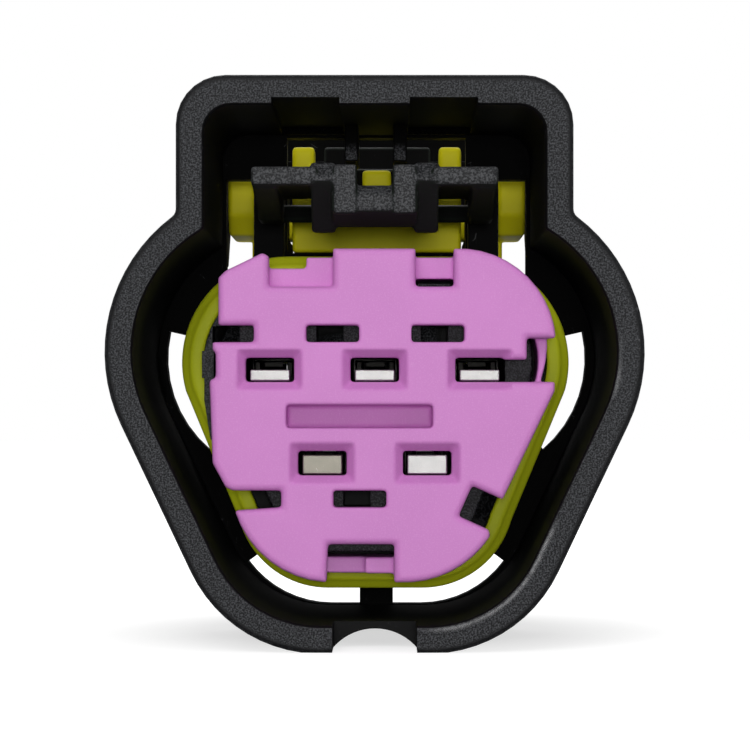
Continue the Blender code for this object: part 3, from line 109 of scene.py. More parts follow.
def mathNode(tree, operation, *values, clamp=False):
    node = addNode(tree, "ShaderNodeMath", operation=operation, use_clamp=clamp)
    for socket, value in zip(node.inputs, values):
        feed(tree, socket, value)
    return node.outputs[0]


def product(tree, first, *others):
    for value in others:
        first = mathNode(tree, "MULTIPLY", first, value)
    return first


def vectorNode(tree, operation, *values, output="Vector"):
    node = addNode(tree, "ShaderNodeVectorMath", operation=operation)
    for socket, value in zip(node.inputs, values):
        feed(tree, socket, value)
    return node.outputs[output]


def mapRange(tree, value, low, high, toLow=0.0, toHigh=1.0):
    node = addNode(tree, "ShaderNodeMapRange")
    wanted = {"Value": value, "From Min": low, "From Max": high, "To Min": toLow, "To Max": toHigh}
    for name, number in wanted.items():
        feed(tree, node.inputs[name], number)
    return node.outputs["Result"]


def vectorParts(tree, vector):  # its X, Y and Z
    split = addNode(tree, "ShaderNodeSeparateXYZ")
    tree.links.new(vector, split.inputs[0])
    return split.outputs


def noiseNode(tree, size, detail=2.0, roughness=0.5, stretch=(1, 1, 1), turn=(0, 0, 0)):
    # size is a bump's width in millimetres
    place = addNode(tree, "ShaderNodeTexCoord")
    mapping = addNode(tree, "ShaderNodeMapping")
    setInputs(mapping, {"Rotation": turn, "Scale": stretch})
    noise = addNode(tree, "ShaderNodeTexNoise")
    setInputs(noise, {"Detail": detail, "Roughness": roughness})
    feed(tree, noise.inputs["Scale"], mathNode(tree, "DIVIDE", 1 / mm, size))
    tree.links.new(place.outputs["Object"], mapping.inputs["Vector"])
    tree.links.new(mapping.outputs["Vector"], noise.inputs["Vector"])
    return noise.outputs["Fac"]


noiseSpan = (0.3, 0.7)  # nearly all of a noise lies between these


# Effects shared by the materials


grainShares = {
    "fine": 0.85,  # shares of the height
    "broad": 0.15,
    "broadSize": 2.7,  # width of a broad bump, in fine ones
}


def grainGroup():  # matt grain of a moulding: height, and a mask of its bright crests
    tree, start, end = newGroup(
        "mouldGrain",
        [
            ("Grain Size", "NodeSocketFloat", 0.1),
            ("Crest Low", "NodeSocketFloat", 0.42),
            ("Crest High", "NodeSocketFloat", 0.62),
        ],
        [("Height", "NodeSocketFloat"), ("Crests", "NodeSocketFloat")],
    )
    size = start.outputs["Grain Size"]
    fine = product(tree, noiseNode(tree, size, 1.0), grainShares["fine"])
    broad = noiseNode(tree, product(tree, size, grainShares["broadSize"]), 1.0)
    height = mathNode(tree, "ADD", fine, product(tree, broad, grainShares["broad"]))
    crests = mapRange(tree, height, start.outputs["Crest Low"], start.outputs["Crest High"])
    tree.links.new(height, end.inputs["Height"])
    tree.links.new(crests, end.inputs["Crests"])
    return tree


def driftGroup():  # slow change of tone over a moulding, where the melt flowed
    tree, start, end = newGroup(
        "toneDrift",
        [
            ("Color", "NodeSocketColor", (0.5, 0.5, 0.5, 1)),
            ("Amount", "NodeSocketFloat", 0.1),
            ("Size", "NodeSocketFloat", 6.0),
        ],
        [("Color", "NodeSocketColor")],
    )
    noise = noiseNode(tree, start.outputs["Size"], 2.0)
    amount = start.outputs["Amount"]
    low = mathNode(tree, "SUBTRACT", 1.0, amount)
    value = mapRange(tree, noise, *noiseSpan, low, mathNode(tree, "ADD", 1.0, amount))
    shade = addNode(tree, "ShaderNodeHueSaturation")
    tree.links.new(start.outputs["Color"], shade.inputs["Color"])
    tree.links.new(value, shade.inputs["Value"])
    tree.links.new(shade.outputs["Color"], end.inputs["Color"])
    return tree


edgeWear = {
    "samples": 6,
    "bend": (0.99, 0.8),  # cosines of the turn at which wear starts, and is full
    "speckSize": 0.5,  # in millimetres
    "specks": (0.35, 0.65, 0.3, 1.0),  # range of the noise, then of the mask made from it
    "stretchSize": 7.0,
    "stretches": (0.5, 0.62, 0.12, 1.0),
}


def edgeGroup():  # rounds a sharp edge's shading, and masks the edge for its wear
    tree, start, end = newGroup(
        "softEdge",
        [("Radius", "NodeSocketFloat", 0.1), ("Wear", "NodeSocketFloat", 0.3)],
        [("Normal", "NodeSocketVector"), ("Mask", "NodeSocketFloat")],
    )
    rounded = bevelNormal(tree, start.outputs["Radius"], edgeWear["samples"])
    flat = addNode(tree, "ShaderNodeNewGeometry").outputs["Normal"]
    turn = vectorNode(tree, "DOT_PRODUCT", rounded, flat, output="Value")
    bend = mapRange(tree, turn, *edgeWear["bend"])
    specks = mapRange(tree, noiseNode(tree, edgeWear["speckSize"], 3.0, 0.6), *edgeWear["specks"])
    stretches = mapRange(tree, noiseNode(tree, edgeWear["stretchSize"], 1.0), *edgeWear["stretches"])
    patches = product(tree, specks, stretches)
    tree.links.new(rounded, end.inputs["Normal"])
    tree.links.new(product(tree, bend, patches, start.outputs["Wear"]), end.inputs["Mask"])
    return tree


def bevelNormal(tree, radius, samples):  # radius in millimetres
    bevel = addNode(tree, "ShaderNodeBevel", samples=samples)
    tree.links.new(product(tree, radius, mm), bevel.inputs["Radius"])
    return bevel.outputs["Normal"]


mouldFaces = {  # in millimetres
    "axisHeight": 18.0,  # of the shroud's long axis
    "latchRoom": (24.0, 26.0),  # heights between which the grain starts to reach deeper
    "lowReach": 3.0,  # depth of the grain below the latch's room
    "fade": 2.0,
    "inside": (15.0, 21.0),  # depths between which a forward face comes to count as far inside, and is painted darker as shade
    "forwards": (-0.75, -0.95),  # a normal's Y, as a face comes to look forwards
    "outwards": (0.25, 0.5),  # and its lean, as a face comes to look outwards
}


def lean(tree, where, normal):  # how far a normal leans away from the shroud's long axis
    away = addNode(tree, "ShaderNodeCombineXYZ")
    feed(tree, away.inputs["X"], where["X"])
    feed(tree, away.inputs["Z"], mathNode(tree, "SUBTRACT", where["Z"], mouldFaces["axisHeight"] * mm))
    unit = vectorNode(tree, "NORMALIZE", away.outputs[0])
    return vectorNode(tree, "DOT_PRODUCT", unit, normal, output="Value")


def faceGroup():  # 1 on the spark-eroded faces, which look forwards near the rim or outwards. The other faces get a smooth polish whose colour is darkened as painted shade, and Deep Shade marks forward faces far inside, painted darker still as shade
    tree, start, end = newGroup(
        "grainedFaces",
        [("Deepest", "NodeSocketFloat", 14.0), ("Outwards", "NodeSocketFloat", 1.0)],
        [("Mask", "NodeSocketFloat"), ("Deep Shade", "NodeSocketFloat")],
    )
    place = addNode(tree, "ShaderNodeTexCoord").outputs
    where, facing = vectorParts(tree, place["Object"]), vectorParts(tree, place["Normal"])
    depth = mathNode(tree, "SUBTRACT", mathNode(tree, "DIVIDE", where["Y"], mm), rimY)
    high = mapRange(tree, where["Z"], *(height * mm for height in mouldFaces["latchRoom"]))
    deepest = mapRange(tree, high, 0.0, 1.0, mouldFaces["lowReach"], start.outputs["Deepest"])
    shallow = mapRange(tree, depth, deepest, mathNode(tree, "ADD", deepest, mouldFaces["fade"]), 1.0, 0.0)
    forwards = mapRange(tree, facing["Y"], *mouldFaces["forwards"])
    reach = mathNode(tree, "MAXIMUM", shallow, start.outputs["Outwards"])
    outwards = product(tree, mapRange(tree, lean(tree, where, place["Normal"]), *mouldFaces["outwards"]), reach)
    mask = mathNode(tree, "MAXIMUM", product(tree, shallow, forwards), outwards)
    # mask of the painted shade on forward faces far inside
    deepShade = mapRange(tree, depth, *mouldFaces["inside"])
    tree.links.new(mask, end.inputs["Mask"])
    tree.links.new(product(tree, deepShade, forwards), end.inputs["Deep Shade"])
    return tree


rimWear = {  # sizes and places in millimetres
    "samples": 8,
    "thickness": (0.2, 0.4),  # of the skin that counts as the rim
    "forwards": (-0.5, -0.9),  # a normal's Y, as a face comes to look forwards
    "band": (0.03, 0.2),  # lean of the rounded normal, as the outer band of painted shade starts
    "scuffStart": (-0.16, -0.22),  # and its lean beside the inner edge
    "scuffEnd": (-0.36, -0.3),
    "stretches": (0.47, 0.52),
    "speckSize": 0.45,
    "specks": (0.35, 0.55, 0.4, 1.0),
    "rightOf": (2.5, 5.0),  # scuffs fade in to the right of this, and below the next
    "below": (20.0, 17.5),
}


def rimGroup():  # the rim's rounded outer edge, painted darker as shade, and scuffs beside its inner edge, low on the right
    tree, start, end = newGroup(
        "rimEdges",
        [("Radius", "NodeSocketFloat", 0.5), ("Stretch", "NodeSocketFloat", 9.0)],
        [("Outer", "NodeSocketFloat"), ("Scuff", "NodeSocketFloat")],
    )
    place = addNode(tree, "ShaderNodeTexCoord").outputs
    where, facing = vectorParts(tree, place["Object"]), vectorParts(tree, place["Normal"])
    tilt = lean(tree, where, bevelNormal(tree, start.outputs["Radius"], rimWear["samples"]))
    near, far = rimWear["thickness"]
    atRim = mapRange(tree, where["Y"], (rimY + near) * mm, (rimY + far) * mm, 1.0, 0.0)
    atRim = product(tree, atRim, mapRange(tree, facing["Y"], *rimWear["forwards"]))
    outer = mapRange(tree, tilt, *rimWear["band"])
    inner = mapRange(tree, tilt, *rimWear["scuffStart"])
    line = product(tree, inner, mapRange(tree, tilt, *rimWear["scuffEnd"]))
    stretches = mapRange(tree, noiseNode(tree, start.outputs["Stretch"], 1.0), *rimWear["stretches"])
    specks = mapRange(tree, noiseNode(tree, rimWear["speckSize"], 3.0, 0.6), *rimWear["specks"])
    right = mapRange(tree, where["X"], *(x * mm for x in rimWear["rightOf"]))
    low = mapRange(tree, where["Z"], *(height * mm for height in rimWear["below"]))
    scuff = product(tree, line, stretches, specks, product(tree, right, low))
    tree.links.new(product(tree, outer, atRim), end.inputs["Outer"])
    tree.links.new(product(tree, scuff, atRim), end.inputs["Scuff"])
    return tree


hairLines = {
    "directions": (((0.3, 0.2, 0.5), (1, 12, 1)), ((-0.4, 0.9, -0.7), (12, 1, 1))),  # turn, stretch
    "width": 0.006,  # in the noise's values
    "runSize": 0.4,  # share of a scratch's length
    "sparse": 0.7,  # noise above which a scratch shows, at a density of 0
    "filled": 0.3,  # how far a density of 1 lowers that
    "fade": 0.05,
}


def scratchGroup():  # hair scratches in two directions, broken into short runs
    tree, start, end = newGroup(
        "hairScratches",
        [("Length", "NodeSocketFloat", 3.0), ("Density", "NodeSocketFloat", 0.3)],
        [("Mask", "NodeSocketFloat")],
    )
    total = None
    for turn, stretch in hairLines["directions"]:
        lines = noiseNode(tree, start.outputs["Length"], 1.0, 0.4, stretch, turn)
        away = mathNode(tree, "ABSOLUTE", mathNode(tree, "SUBTRACT", lines, 0.5))
        thin = mapRange(tree, away, 0.0, hairLines["width"], 1.0, 0.0)
        total = thin if total is None else mathNode(tree, "MAXIMUM", total, thin)
    broken = noiseNode(tree, product(tree, start.outputs["Length"], hairLines["runSize"]), 2.0)
    lowered = product(tree, start.outputs["Density"], hairLines["filled"])
    low = mathNode(tree, "SUBTRACT", hairLines["sparse"], lowered)
    runs = mapRange(tree, broken, low, mathNode(tree, "ADD", low, hairLines["fade"]))
    tree.links.new(product(tree, total, runs), end.inputs["Mask"])
    return tree


effects = {
    "grain": grainGroup(),
    "drift": driftGroup(),
    "edge": edgeGroup(),
    "scratches": scratchGroup(),
    "faces": faceGroup(),
    "rim": rimGroup(),
}
print("effects built:", len(effects))


def addEffect(tree, name, **values):
    node = addNode(tree, "ShaderNodeGroup")
    node.node_tree = effects[name]
    for label, value in values.items():
        feed(tree, node.inputs[label.replace("_", " ")], value)
    return node


def mixColour(tree, mask, first, second):
    node = addNode(tree, "ShaderNodeMix", data_type="RGBA")
    for index, value in ((0, mask), (6, first), (7, second)):  # the colour sockets come after the others
        feed(tree, node.inputs[index], value)
    return node.outputs[2]


def opaque(colour):
    return (*colour, 1)


def addBump(tree, shader, height, depth, normal):  # bump of a height over the rounded edges
    bump = addNode(tree, "ShaderNodeBump")
    setInputs(bump, {"Strength": 1.0, "Distance": depth * mm})
    tree.links.new(height, bump.inputs["Height"])
    tree.links.new(normal, bump.inputs["Normal"])
    tree.links.new(bump.outputs["Normal"], shader.inputs["Normal"])


def spreadRoughness(tree, pattern, look):
    middle, spread = look["roughness"], look["roughnessSpread"]
    return mapRange(tree, pattern, *noiseSpan, middle - spread, middle + spread)


def newMaterial(name):
    made = bpy.data.materials.new(name)
    made.use_nodes = True
    return made, made.node_tree, made.node_tree.nodes["Principled BSDF"]


def moulding(name, look):  # injection-moulded plastic or silicone
    made, tree, shader = newMaterial(name)
    drift = addEffect(tree, "drift", Color=opaque(look["colour"]), Amount=look["drift"], Size=look["driftSize"])
    low, high = look["crests"]
    grain = addEffect(tree, "grain", Grain_Size=look["grainSize"], Crest_Low=low, Crest_High=high)
    edge = addEffect(tree, "edge", Radius=look["edge"], Wear=look["wear"])
    scratches = addEffect(tree, "scratches", Length=look["scratchLength"], Density=look["scratches"])
    colour = mixColour(tree, grain.outputs["Crests"], drift.outputs["Color"], opaque(look["crestColour"]))
    colour = mixColour(tree, edge.outputs["Mask"], colour, opaque(look["wornColour"]))
    height = grain.outputs["Height"]
    rough = spreadRoughness(tree, height, look)
    if "polishedShadeColour" in look:
        sides = addEffect(tree, "faces", Deepest=look["deepest"], Outwards=look["outwards"])
        faces, deepShade = sides.outputs["Mask"], sides.outputs["Deep Shade"]
        # faces off the grained mask take the polished colour, which is painted shade
        colour = mixColour(tree, faces, opaque(look["polishedShadeColour"]), colour)
        # forward faces far inside are painted near-black as shade
        colour = mixColour(tree, deepShade, colour, opaque(look["paintedDeepShade"]))
        height = product(tree, height, mapRange(tree, faces, 0.0, 1.0, look["polishedBump"], 1.0))
        rough = mapRange(tree, faces, 0.0, 1.0, look["polishedRoughness"], rough)
        rough = mapRange(tree, deepShade, 0.0, 1.0, rough, look["deepRoughness"])
    if "rimRadius" in look:
        rim = addEffect(tree, "rim", Radius=look["rimRadius"], Stretch=look["scuffLength"])
        # the rim's outer band is painted darker as shade
        colour = mixColour(tree, rim.outputs["Outer"], colour, opaque(look["bandShadeColour"]))
        colour = mixColour(tree, rim.outputs["Scuff"], colour, opaque(look["scuffColour"]))
    marks = product(tree, scratches.outputs["Mask"], look["scratchTone"])
    colour = mixColour(tree, marks, colour, opaque(look["wornColour"]))
    tree.links.new(colour, shader.inputs["Base Color"])
    tree.links.new(rough, shader.inputs["Roughness"])
    shader.inputs["Specular IOR Level"].default_value = look["specular"]
    addBump(tree, shader, height, look["grainDepth"], edge.outputs["Normal"])
    return made


def sheetMetal(name, look):  # plated or rolled sheet
    made, tree, shader = newMaterial(name)
    drift = addEffect(tree, "drift", Color=opaque(look["colour"]), Amount=look["drift"], Size=look["driftSize"])
    edge = addEffect(tree, "edge", Radius=look["edge"], Wear=look["wear"])
    scratches = addEffect(tree, "scratches", Length=look["scratchLength"], Density=look["scratches"])
    colour = mixColour(tree, edge.outputs["Mask"], drift.outputs["Color"], opaque(look["wornColour"]))
    colour = mixColour(tree, scratches.outputs["Mask"], colour, opaque(look["scratchColour"]))
    where = vectorParts(tree, addNode(tree, "ShaderNodeTexCoord").outputs["Object"])
    # painted shade: the metal turns dark deeper in the cavity
    first, last = look["shadeDepths"]
    cavityShade = mapRange(tree, where["Y"], (rimY + first) * mm, (rimY + last) * mm)
    colour = mixColour(tree, cavityShade, colour, opaque(look["cavityShadeColour"]))
    tree.links.new(colour, shader.inputs["Base Color"])
    rolled = noiseNode(tree, look["rolling"], 3.0, 0.6, look["rollingStretch"])
    tree.links.new(spreadRoughness(tree, rolled, look), shader.inputs["Roughness"])
    height = mathNode(tree, "SUBTRACT", rolled, scratches.outputs["Mask"])
    addBump(tree, shader, height, look["rollingDepth"], edge.outputs["Normal"])
    shader.inputs["Metallic"].default_value = 1.0
    return made


blackLook = {  # colours are linear, and sizes are in millimetres
    "colour": (0.006, 0.0063, 0.0075),
    "crestColour": (0.075, 0.078, 0.085),
    # faces off the grained mask: smooth polish, with a near-black colour that is painted shade
    "polishedShadeColour": (0.0035, 0.0036, 0.0038),
    "polishedRoughness": 0.62,
    "polishedBump": 0.15,
    "paintedDeepShade": (0.0015, 0.0015, 0.0016),  # painted shade on faces that look forwards from far inside
    "deepRoughness": 0.95,
    "deepest": 14.0,  # grained faces that look forwards end at this depth
    "outwards": 1.0,  # and those that look outwards are grained at every depth
    "wornColour": (0.26, 0.265, 0.275),
    "crests": (0.43, 0.64),
    "drift": 0.12,
    "driftSize": 7.0,
    "grainSize": 0.11,
    "grainDepth": 0.03,
    "roughness": 0.5,
    "roughnessSpread": 0.06,
    "specular": 0.16,
    "edge": 0.14,
    "wear": 0.8,
    "scratches": 0.25,
    "scratchLength": 2.5,
    "scratchTone": 0.35,
}
shroudLook = dict(
    blackLook,
    rimRadius=0.55,
    # the darker outer band of the rim: painted shade
    bandShadeColour=(0.009, 0.0093, 0.0103),
    scuffLength=9.0,
    scuffColour=(0.6, 0.605, 0.615),
)
latchLook = dict(
    blackLook,
    outwards=0.0,
    # painted shade, tinted green to cancel the pink light bounced from the terminal lock
    polishedShadeColour=(0.011, 0.0145, 0.0115),
    colour=(0.014, 0.0145, 0.016),
    crestColour=(0.09, 0.0925, 0.098),
    crests=(0.42, 0.64),
    grainSize=0.12,
    polishedRoughness=0.6,
    edge=0.2,
    # lighter specks along the edges: partly wear, partly a painted highlight on the top bevels
    wear=0.45,
    scratches=0.15,
)
orchidLook = {
    "colour": (0.69, 0.245, 0.65),
    "crestColour": (0.74, 0.31, 0.7),
    "wornColour": (0.86, 0.55, 0.83),
    "crests": (0.5, 0.75),
    "drift": 0.03,
    "driftSize": 5.0,
    "grainSize": 0.1,
    "grainDepth": 0.004,
    "roughness": 0.45,
    "roughnessSpread": 0.06,
    "specular": 0.3,
    "edge": 0.2,
    "wear": 0.5,
    "scratches": 0.05,
    "scratchLength": 2.0,
    "scratchTone": 0.15,
}
yellowLook = dict(
    orchidLook,
    # written brighter than the part's own yellow: painted light that makes up for the shade inside the shroud
    colour=(0.9, 0.82, 0.008),
    crestColour=(0.91, 0.84, 0.02),
    wornColour=(0.93, 0.87, 0.1),
    grainDepth=0.006,
    roughness=0.5,
    specular=0.15,
    wear=0.3,
)
oliveLook = dict(
    orchidLook,
    # written brighter than the seal's own olive: painted light that makes up for the shade inside the shroud
    colour=(0.56, 0.62, 0.014),
    crestColour=(0.58, 0.64, 0.018),
    wornColour=(0.62, 0.68, 0.05),
    grainSize=0.16,
    roughness=0.5,
    specular=0.15,
    scratches=0.0,
)
tinLook = {
    "colour": (0.46, 0.46, 0.448),
    "wornColour": (0.66, 0.66, 0.64),
    "scratchColour": (0.6, 0.59, 0.55),
    "shadeDepths": (3.6, 5.2),  # depths in millimetres between which the metal turns to a painted shade, for the dark inside the cavity
    "cavityShadeColour": (0.015, 0.0145, 0.0135),
    "drift": 0.06,
    "driftSize": 0.9,
    "roughness": 0.5,
    "roughnessSpread": 0.07,
    "rolling": 0.08,
    "rollingStretch": (1, 0.06, 1),
    "rollingDepth": 0.003,
    "edge": 0.06,
    "wear": 0.5,
    "scratches": 0.35,
    "scratchLength": 0.9,
}
nickelLook = dict(tinLook, colour=(0.25, 0.24, 0.2), wornColour=(0.5, 0.49, 0.45))
steelLook = dict(tinLook, colour=(0.58, 0.57, 0.55), roughness=0.34)

black = moulding("blackMoulding", shroudLook)
latchBlack = moulding("latchMoulding", latchLook)
orchid = moulding("orchidMoulding", orchidLook)
yellow = moulding("yellowMoulding", yellowLook)
olive = moulding("oliveSilicone", oliveLook)
tin = sheetMetal("tinPlate", tinLook)
nickel = sheetMetal("nickelPlate", nickelLook)
steel = sheetMetal("springSteel", steelLook)
print("materials built:", len(bpy.data.materials))


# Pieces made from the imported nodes


def addPiece(name, meshData, look):
    piece = bpy.data.objects.new(name, meshData)
    bpy.context.scene.collection.objects.link(piece)
    meshData.materials.clear()
    meshData.materials.append(look)
    return piece


def plainMesh(piece):  # the mesh that the piece's modifiers make
    graph = bpy.context.evaluated_depsgraph_get()
    return bpy.data.meshes.new_from_object(piece.evaluated_get(graph))


sleeveSection = {
    "corners": (0.04, 0.6, 0.66, 0.96),  # where the front, the outer side, the back and the inner side end
    "fullness": 0.62,  # above a half, a rib's crest is flat
    "neckRamp": 0.03,  # share of the length
    "weld": 0.002,  # points nearer than this are one, in millimetres
}


def sleeveGroup():  # ribbed sleeve around a closed path: a closed section follows the path
    tree, start, end = newGroup(
        "ribbedSleeve",
        [
            ("Path", "NodeSocketGeometry", None),
            ("Front", "NodeSocketFloat", 0.0),
            ("Length", "NodeSocketFloat", 0.005),
            ("Seat", "NodeSocketFloat", 0.0001),
            ("Wall", "NodeSocketFloat", 0.001),
            ("Rib", "NodeSocketFloat", 0.0005),
            ("Ribs", "NodeSocketFloat", 3.0),
            ("Neck Share", "NodeSocketFloat", 0.0),
            ("Neck Drop", "NodeSocketFloat", 0.0),
            ("Around", "NodeSocketInt", 160),
            ("Section Points", "NodeSocketInt", 90),
            ("Material", "NodeSocketMaterial", None),
        ],
        [("Geometry", "NodeSocketGeometry")],
        "GeometryNodeTree",
    )
    given = start.outputs
    grid = setInputs(addNode(tree, "GeometryNodeMeshGrid"), {"Size X": 1.0, "Size Y": 1.0})
    tree.links.new(given["Around"], grid.inputs["Vertices X"])
    tree.links.new(given["Section Points"], grid.inputs["Vertices Y"])
    spot = vectorParts(tree, addNode(tree, "GeometryNodeInputPosition").outputs[0])
    along = mathNode(tree, "ADD", spot["X"], 0.5, clamp=True)
    around = mathNode(tree, "ADD", spot["Y"], 0.5)
    frontEnd, outerEnd, backEnd, innerEnd = sleeveSection["corners"]
    out = mapRange(tree, around, frontEnd, outerEnd)
    back = mapRange(tree, around, backEnd, innerEnd)
    share = mathNode(tree, "SUBTRACT", out, back)  # 0 at the front, 1 at the back
    rise = mapRange(tree, around, 0.0, frontEnd)
    fall = mapRange(tree, around, outerEnd, backEnd)
    outer = mathNode(tree, "SUBTRACT", rise, fall)  # 1 on the outer side, 0 on the inner side
    body = mapRange(tree, share, given["Neck Share"], 1.0)
    swell = mathNode(tree, "COSINE", product(tree, body, given["Ribs"], math.tau))
    swell = mathNode(tree, "SUBTRACT", 1.0, swell)
    wave = mathNode(tree, "MULTIPLY", swell, sleeveSection["fullness"], clamp=True)
    neckEnd = mathNode(tree, "ADD", given["Neck Share"], sleeveSection["neckRamp"])
    neck = mapRange(tree, share, given["Neck Share"], neckEnd, 1.0, 0.0)
    reach = mathNode(tree, "ADD", given["Wall"], product(tree, given["Rib"], wave))
    reach = mathNode(tree, "SUBTRACT", reach, product(tree, given["Neck Drop"], neck))
    reach = mathNode(tree, "ADD", given["Seat"], product(tree, reach, outer))
    depth = mathNode(tree, "ADD", given["Front"], product(tree, share, given["Length"]))
    sample = addNode(tree, "GeometryNodeSampleCurve", mode="FACTOR", use_all_curves=True)
    tree.links.new(given["Path"], sample.inputs["Curves"])
    tree.links.new(along, sample.inputs["Factor"])
    outward = vectorNode(tree, "CROSS_PRODUCT", sample.outputs["Tangent"], (0, 0, 1))
    shift = addNode(tree, "ShaderNodeVectorMath", operation="SCALE")
    tree.links.new(vectorNode(tree, "NORMALIZE", outward), shift.inputs[0])
    tree.links.new(reach, shift.inputs["Scale"])
    inwards = addNode(tree, "ShaderNodeCombineXYZ")
    tree.links.new(product(tree, depth, -1.0), inwards.inputs["Z"])
    total = vectorNode(tree, "ADD", shift.outputs[0], inwards.outputs[0])
    moved = addNode(tree, "GeometryNodeSetPosition")
    tree.links.new(grid.outputs["Mesh"], moved.inputs["Geometry"])
    tree.links.new(vectorNode(tree, "ADD", sample.outputs["Position"], total), moved.inputs["Position"])
    merged = addNode(tree, "GeometryNodeMergeByDistance")
    merged.inputs["Distance"].default_value = sleeveSection["weld"] * mm
    turned = addNode(tree, "GeometryNodeTransform")  # the path lies flat, and stands up here
    turned.inputs["Rotation"].default_value = (math.pi / 2, 0, 0)
    smooth = addNode(tree, "GeometryNodeSetShadeSmooth")
    real = addNode(tree, "GeometryNodeRealizeInstances")
    dressed = addNode(tree, "GeometryNodeSetMaterial")
    tree.links.new(given["Material"], dressed.inputs["Material"])
    flow = moved
    for step in (merged, turned, smooth, real, dressed):
        tree.links.new(flow.outputs[0], step.inputs["Geometry"])
        flow = step
    tree.links.new(flow.outputs[0], end.inputs["Geometry"])
    return tree


def roundPath(circles, steps=24):  # counter-clockwise arcs joined by lines
    points = []
    for x, z, radius, first, last in circles:
        for i in range(steps + 1):
            angle = math.radians(first + (last - first) * i / steps)
            points.append((x + radius * math.cos(angle), z + radius * math.sin(angle)))
    return points


def sleevePiece(node, name, look, points, settings):
    curve = bpy.data.curves.new(name + "Path", "CURVE")
    curve.dimensions = "3D"
    spline = curve.splines.new("POLY")
    spline.points.add(len(points) - 1)
    for point, (x, z) in zip(spline.points, points):
        point.co = (x * mm, z * mm, 0, 1)
    spline.use_cyclic_u = True
    piece = bpy.data.objects.new(name, curve)
    bpy.context.scene.collection.objects.link(piece)
    sleeve = piece.modifiers.new("sleeve", "NODES")
    sleeve.node_group = ribbedSleeve
    wanted = dict(settings, Material=look)
    lengths = ("Front", "Length", "Seat", "Wall", "Rib", "Neck Drop")
    for socket in ribbedSleeve.interface.items_tree:
        if socket.in_out == "INPUT" and socket.name in wanted:
            value = wanted[socket.name]
            sleeve[socket.identifier] = value * mm if socket.name in lengths else value
    meshData = plainMesh(piece)
    bpy.data.objects.remove(piece)
    made = addPiece(name, meshData, look)
    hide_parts(node)
    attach(made, frame["nodes"][node]["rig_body"])


skin = {
    "weld": 0.0005,  # corners nearer than this are one, in millimetres
    "flat": 0.5,  # faces that turn less than this are one, in degrees
    "crisp": 35.0,  # edges that turn more than this stay crisp
    "smoothing": 0.5,  # strength of each round
}


def weldedMesh(node, scale=1.0):  # one closed skin, with the triangles of each flat face merged
    bm = bmesh.new()
    bm.from_mesh(frame["nodes"][node].data)
    bmesh.ops.remove_doubles(bm, verts=bm.verts, dist=skin["weld"] * mm)
    bmesh.ops.dissolve_limit(bm, angle_limit=math.radians(skin["flat"]), verts=bm.verts, edges=bm.edges)
    bm.transform(Matrix.Scale(scale, 4))
    meshData = bpy.data.meshes.new(node + "Skin")
    bm.to_mesh(meshData)
    bm.free()
    return meshData


def applyModifiers(piece):  # and takes them off
    meshData = plainMesh(piece)
    piece.modifiers.clear()
    piece.data = meshData


def crispPiece(node, name, look):  # flat faces stay flat, rounded edges shade smoothly
    piece = addPiece(name, weldedMesh(node), look)
    piece.data.shade_smooth()
    piece.data.set_sharp_from_angle(angle=math.radians(skin["crisp"]))
    weighted = piece.modifiers.new("weighted", "WEIGHTED_NORMAL")
    weighted.keep_sharp = True
    applyModifiers(piece)
    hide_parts(node)
    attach(piece, frame["nodes"][node]["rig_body"])


def softPiece(node, name, look, settings):  # every edge and corner rounded, as a moulding's are
    piece = addPiece(name, weldedMesh(node, 1 / mm), look)
    voxels = piece.modifiers.new("voxels", "REMESH")
    voxels.mode = "VOXEL"
    voxels.voxel_size = settings["voxel"]
    voxels.use_smooth_shade = True
    relax = piece.modifiers.new("relaxed", "SMOOTH")
    relax.factor = skin["smoothing"]
    relax.iterations = settings["relax"]
    fewer = piece.modifiers.new("fewer", "DECIMATE")
    fewer.ratio = settings["kept"]
    piece.modifiers.new("weighted", "WEIGHTED_NORMAL")
    applyModifiers(piece)
    piece.data.transform(Matrix.Scale(mm, 4))
    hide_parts(node)
    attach(piece, frame["nodes"][node]["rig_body"])
    print(name, "faces:", len(piece.data.polygons))


# voxel size in millimetres, rounds of smoothing, share of the faces kept
lockShape = {"voxel": 0.1, "relax": 5, "kept": 0.35}
latchShape = {"voxel": 0.1, "relax": 4, "kept": 0.4}
sliderShape = {"voxel": 0.14, "relax": 4, "kept": 0.4}
ribbedSleeve = sleeveGroup()

crispPiece("connector_housing", "housing", black)
softPiece("terminal_lock", "terminalLock", orchid, lockShape)
softPiece("latch_lever", "latchLever", latchBlack, latchShape)
softPiece("position_lock", "positionLock", yellow, sliderShape)
for number in range(1, 6):
    crispPiece(f"contact_{number}", f"contact{number}", nickel if number == 4 else tin)
    crispPiece(f"spring_hood_{number}", f"springHood{number}", steel)

ribbedSeal = {  # in millimetres
    "circles": (  # x, height, radius, first and last angle
        (3.11, 9.57, 4.45, -90, -14.7),
        (5.7, 18.3, 5.4, -14.7, 90),
        (-5.7, 18.3, 5.4, 90, 194.7),
        (-3.11, 9.57, 4.45, 194.7, 270),
    ),
    "shape": {
        "Front": -13.6,
        "Length": 5.0,
        "Seat": 0.1,
        "Wall": 0.85,
        "Rib": 0.58,
        "Ribs": 3.0,
        "Around": 220,
    },
}
sleevePiece("perimeter_seal", "perimeterSeal", olive, roundPath(ribbedSeal["circles"]), ribbedSeal["shape"])

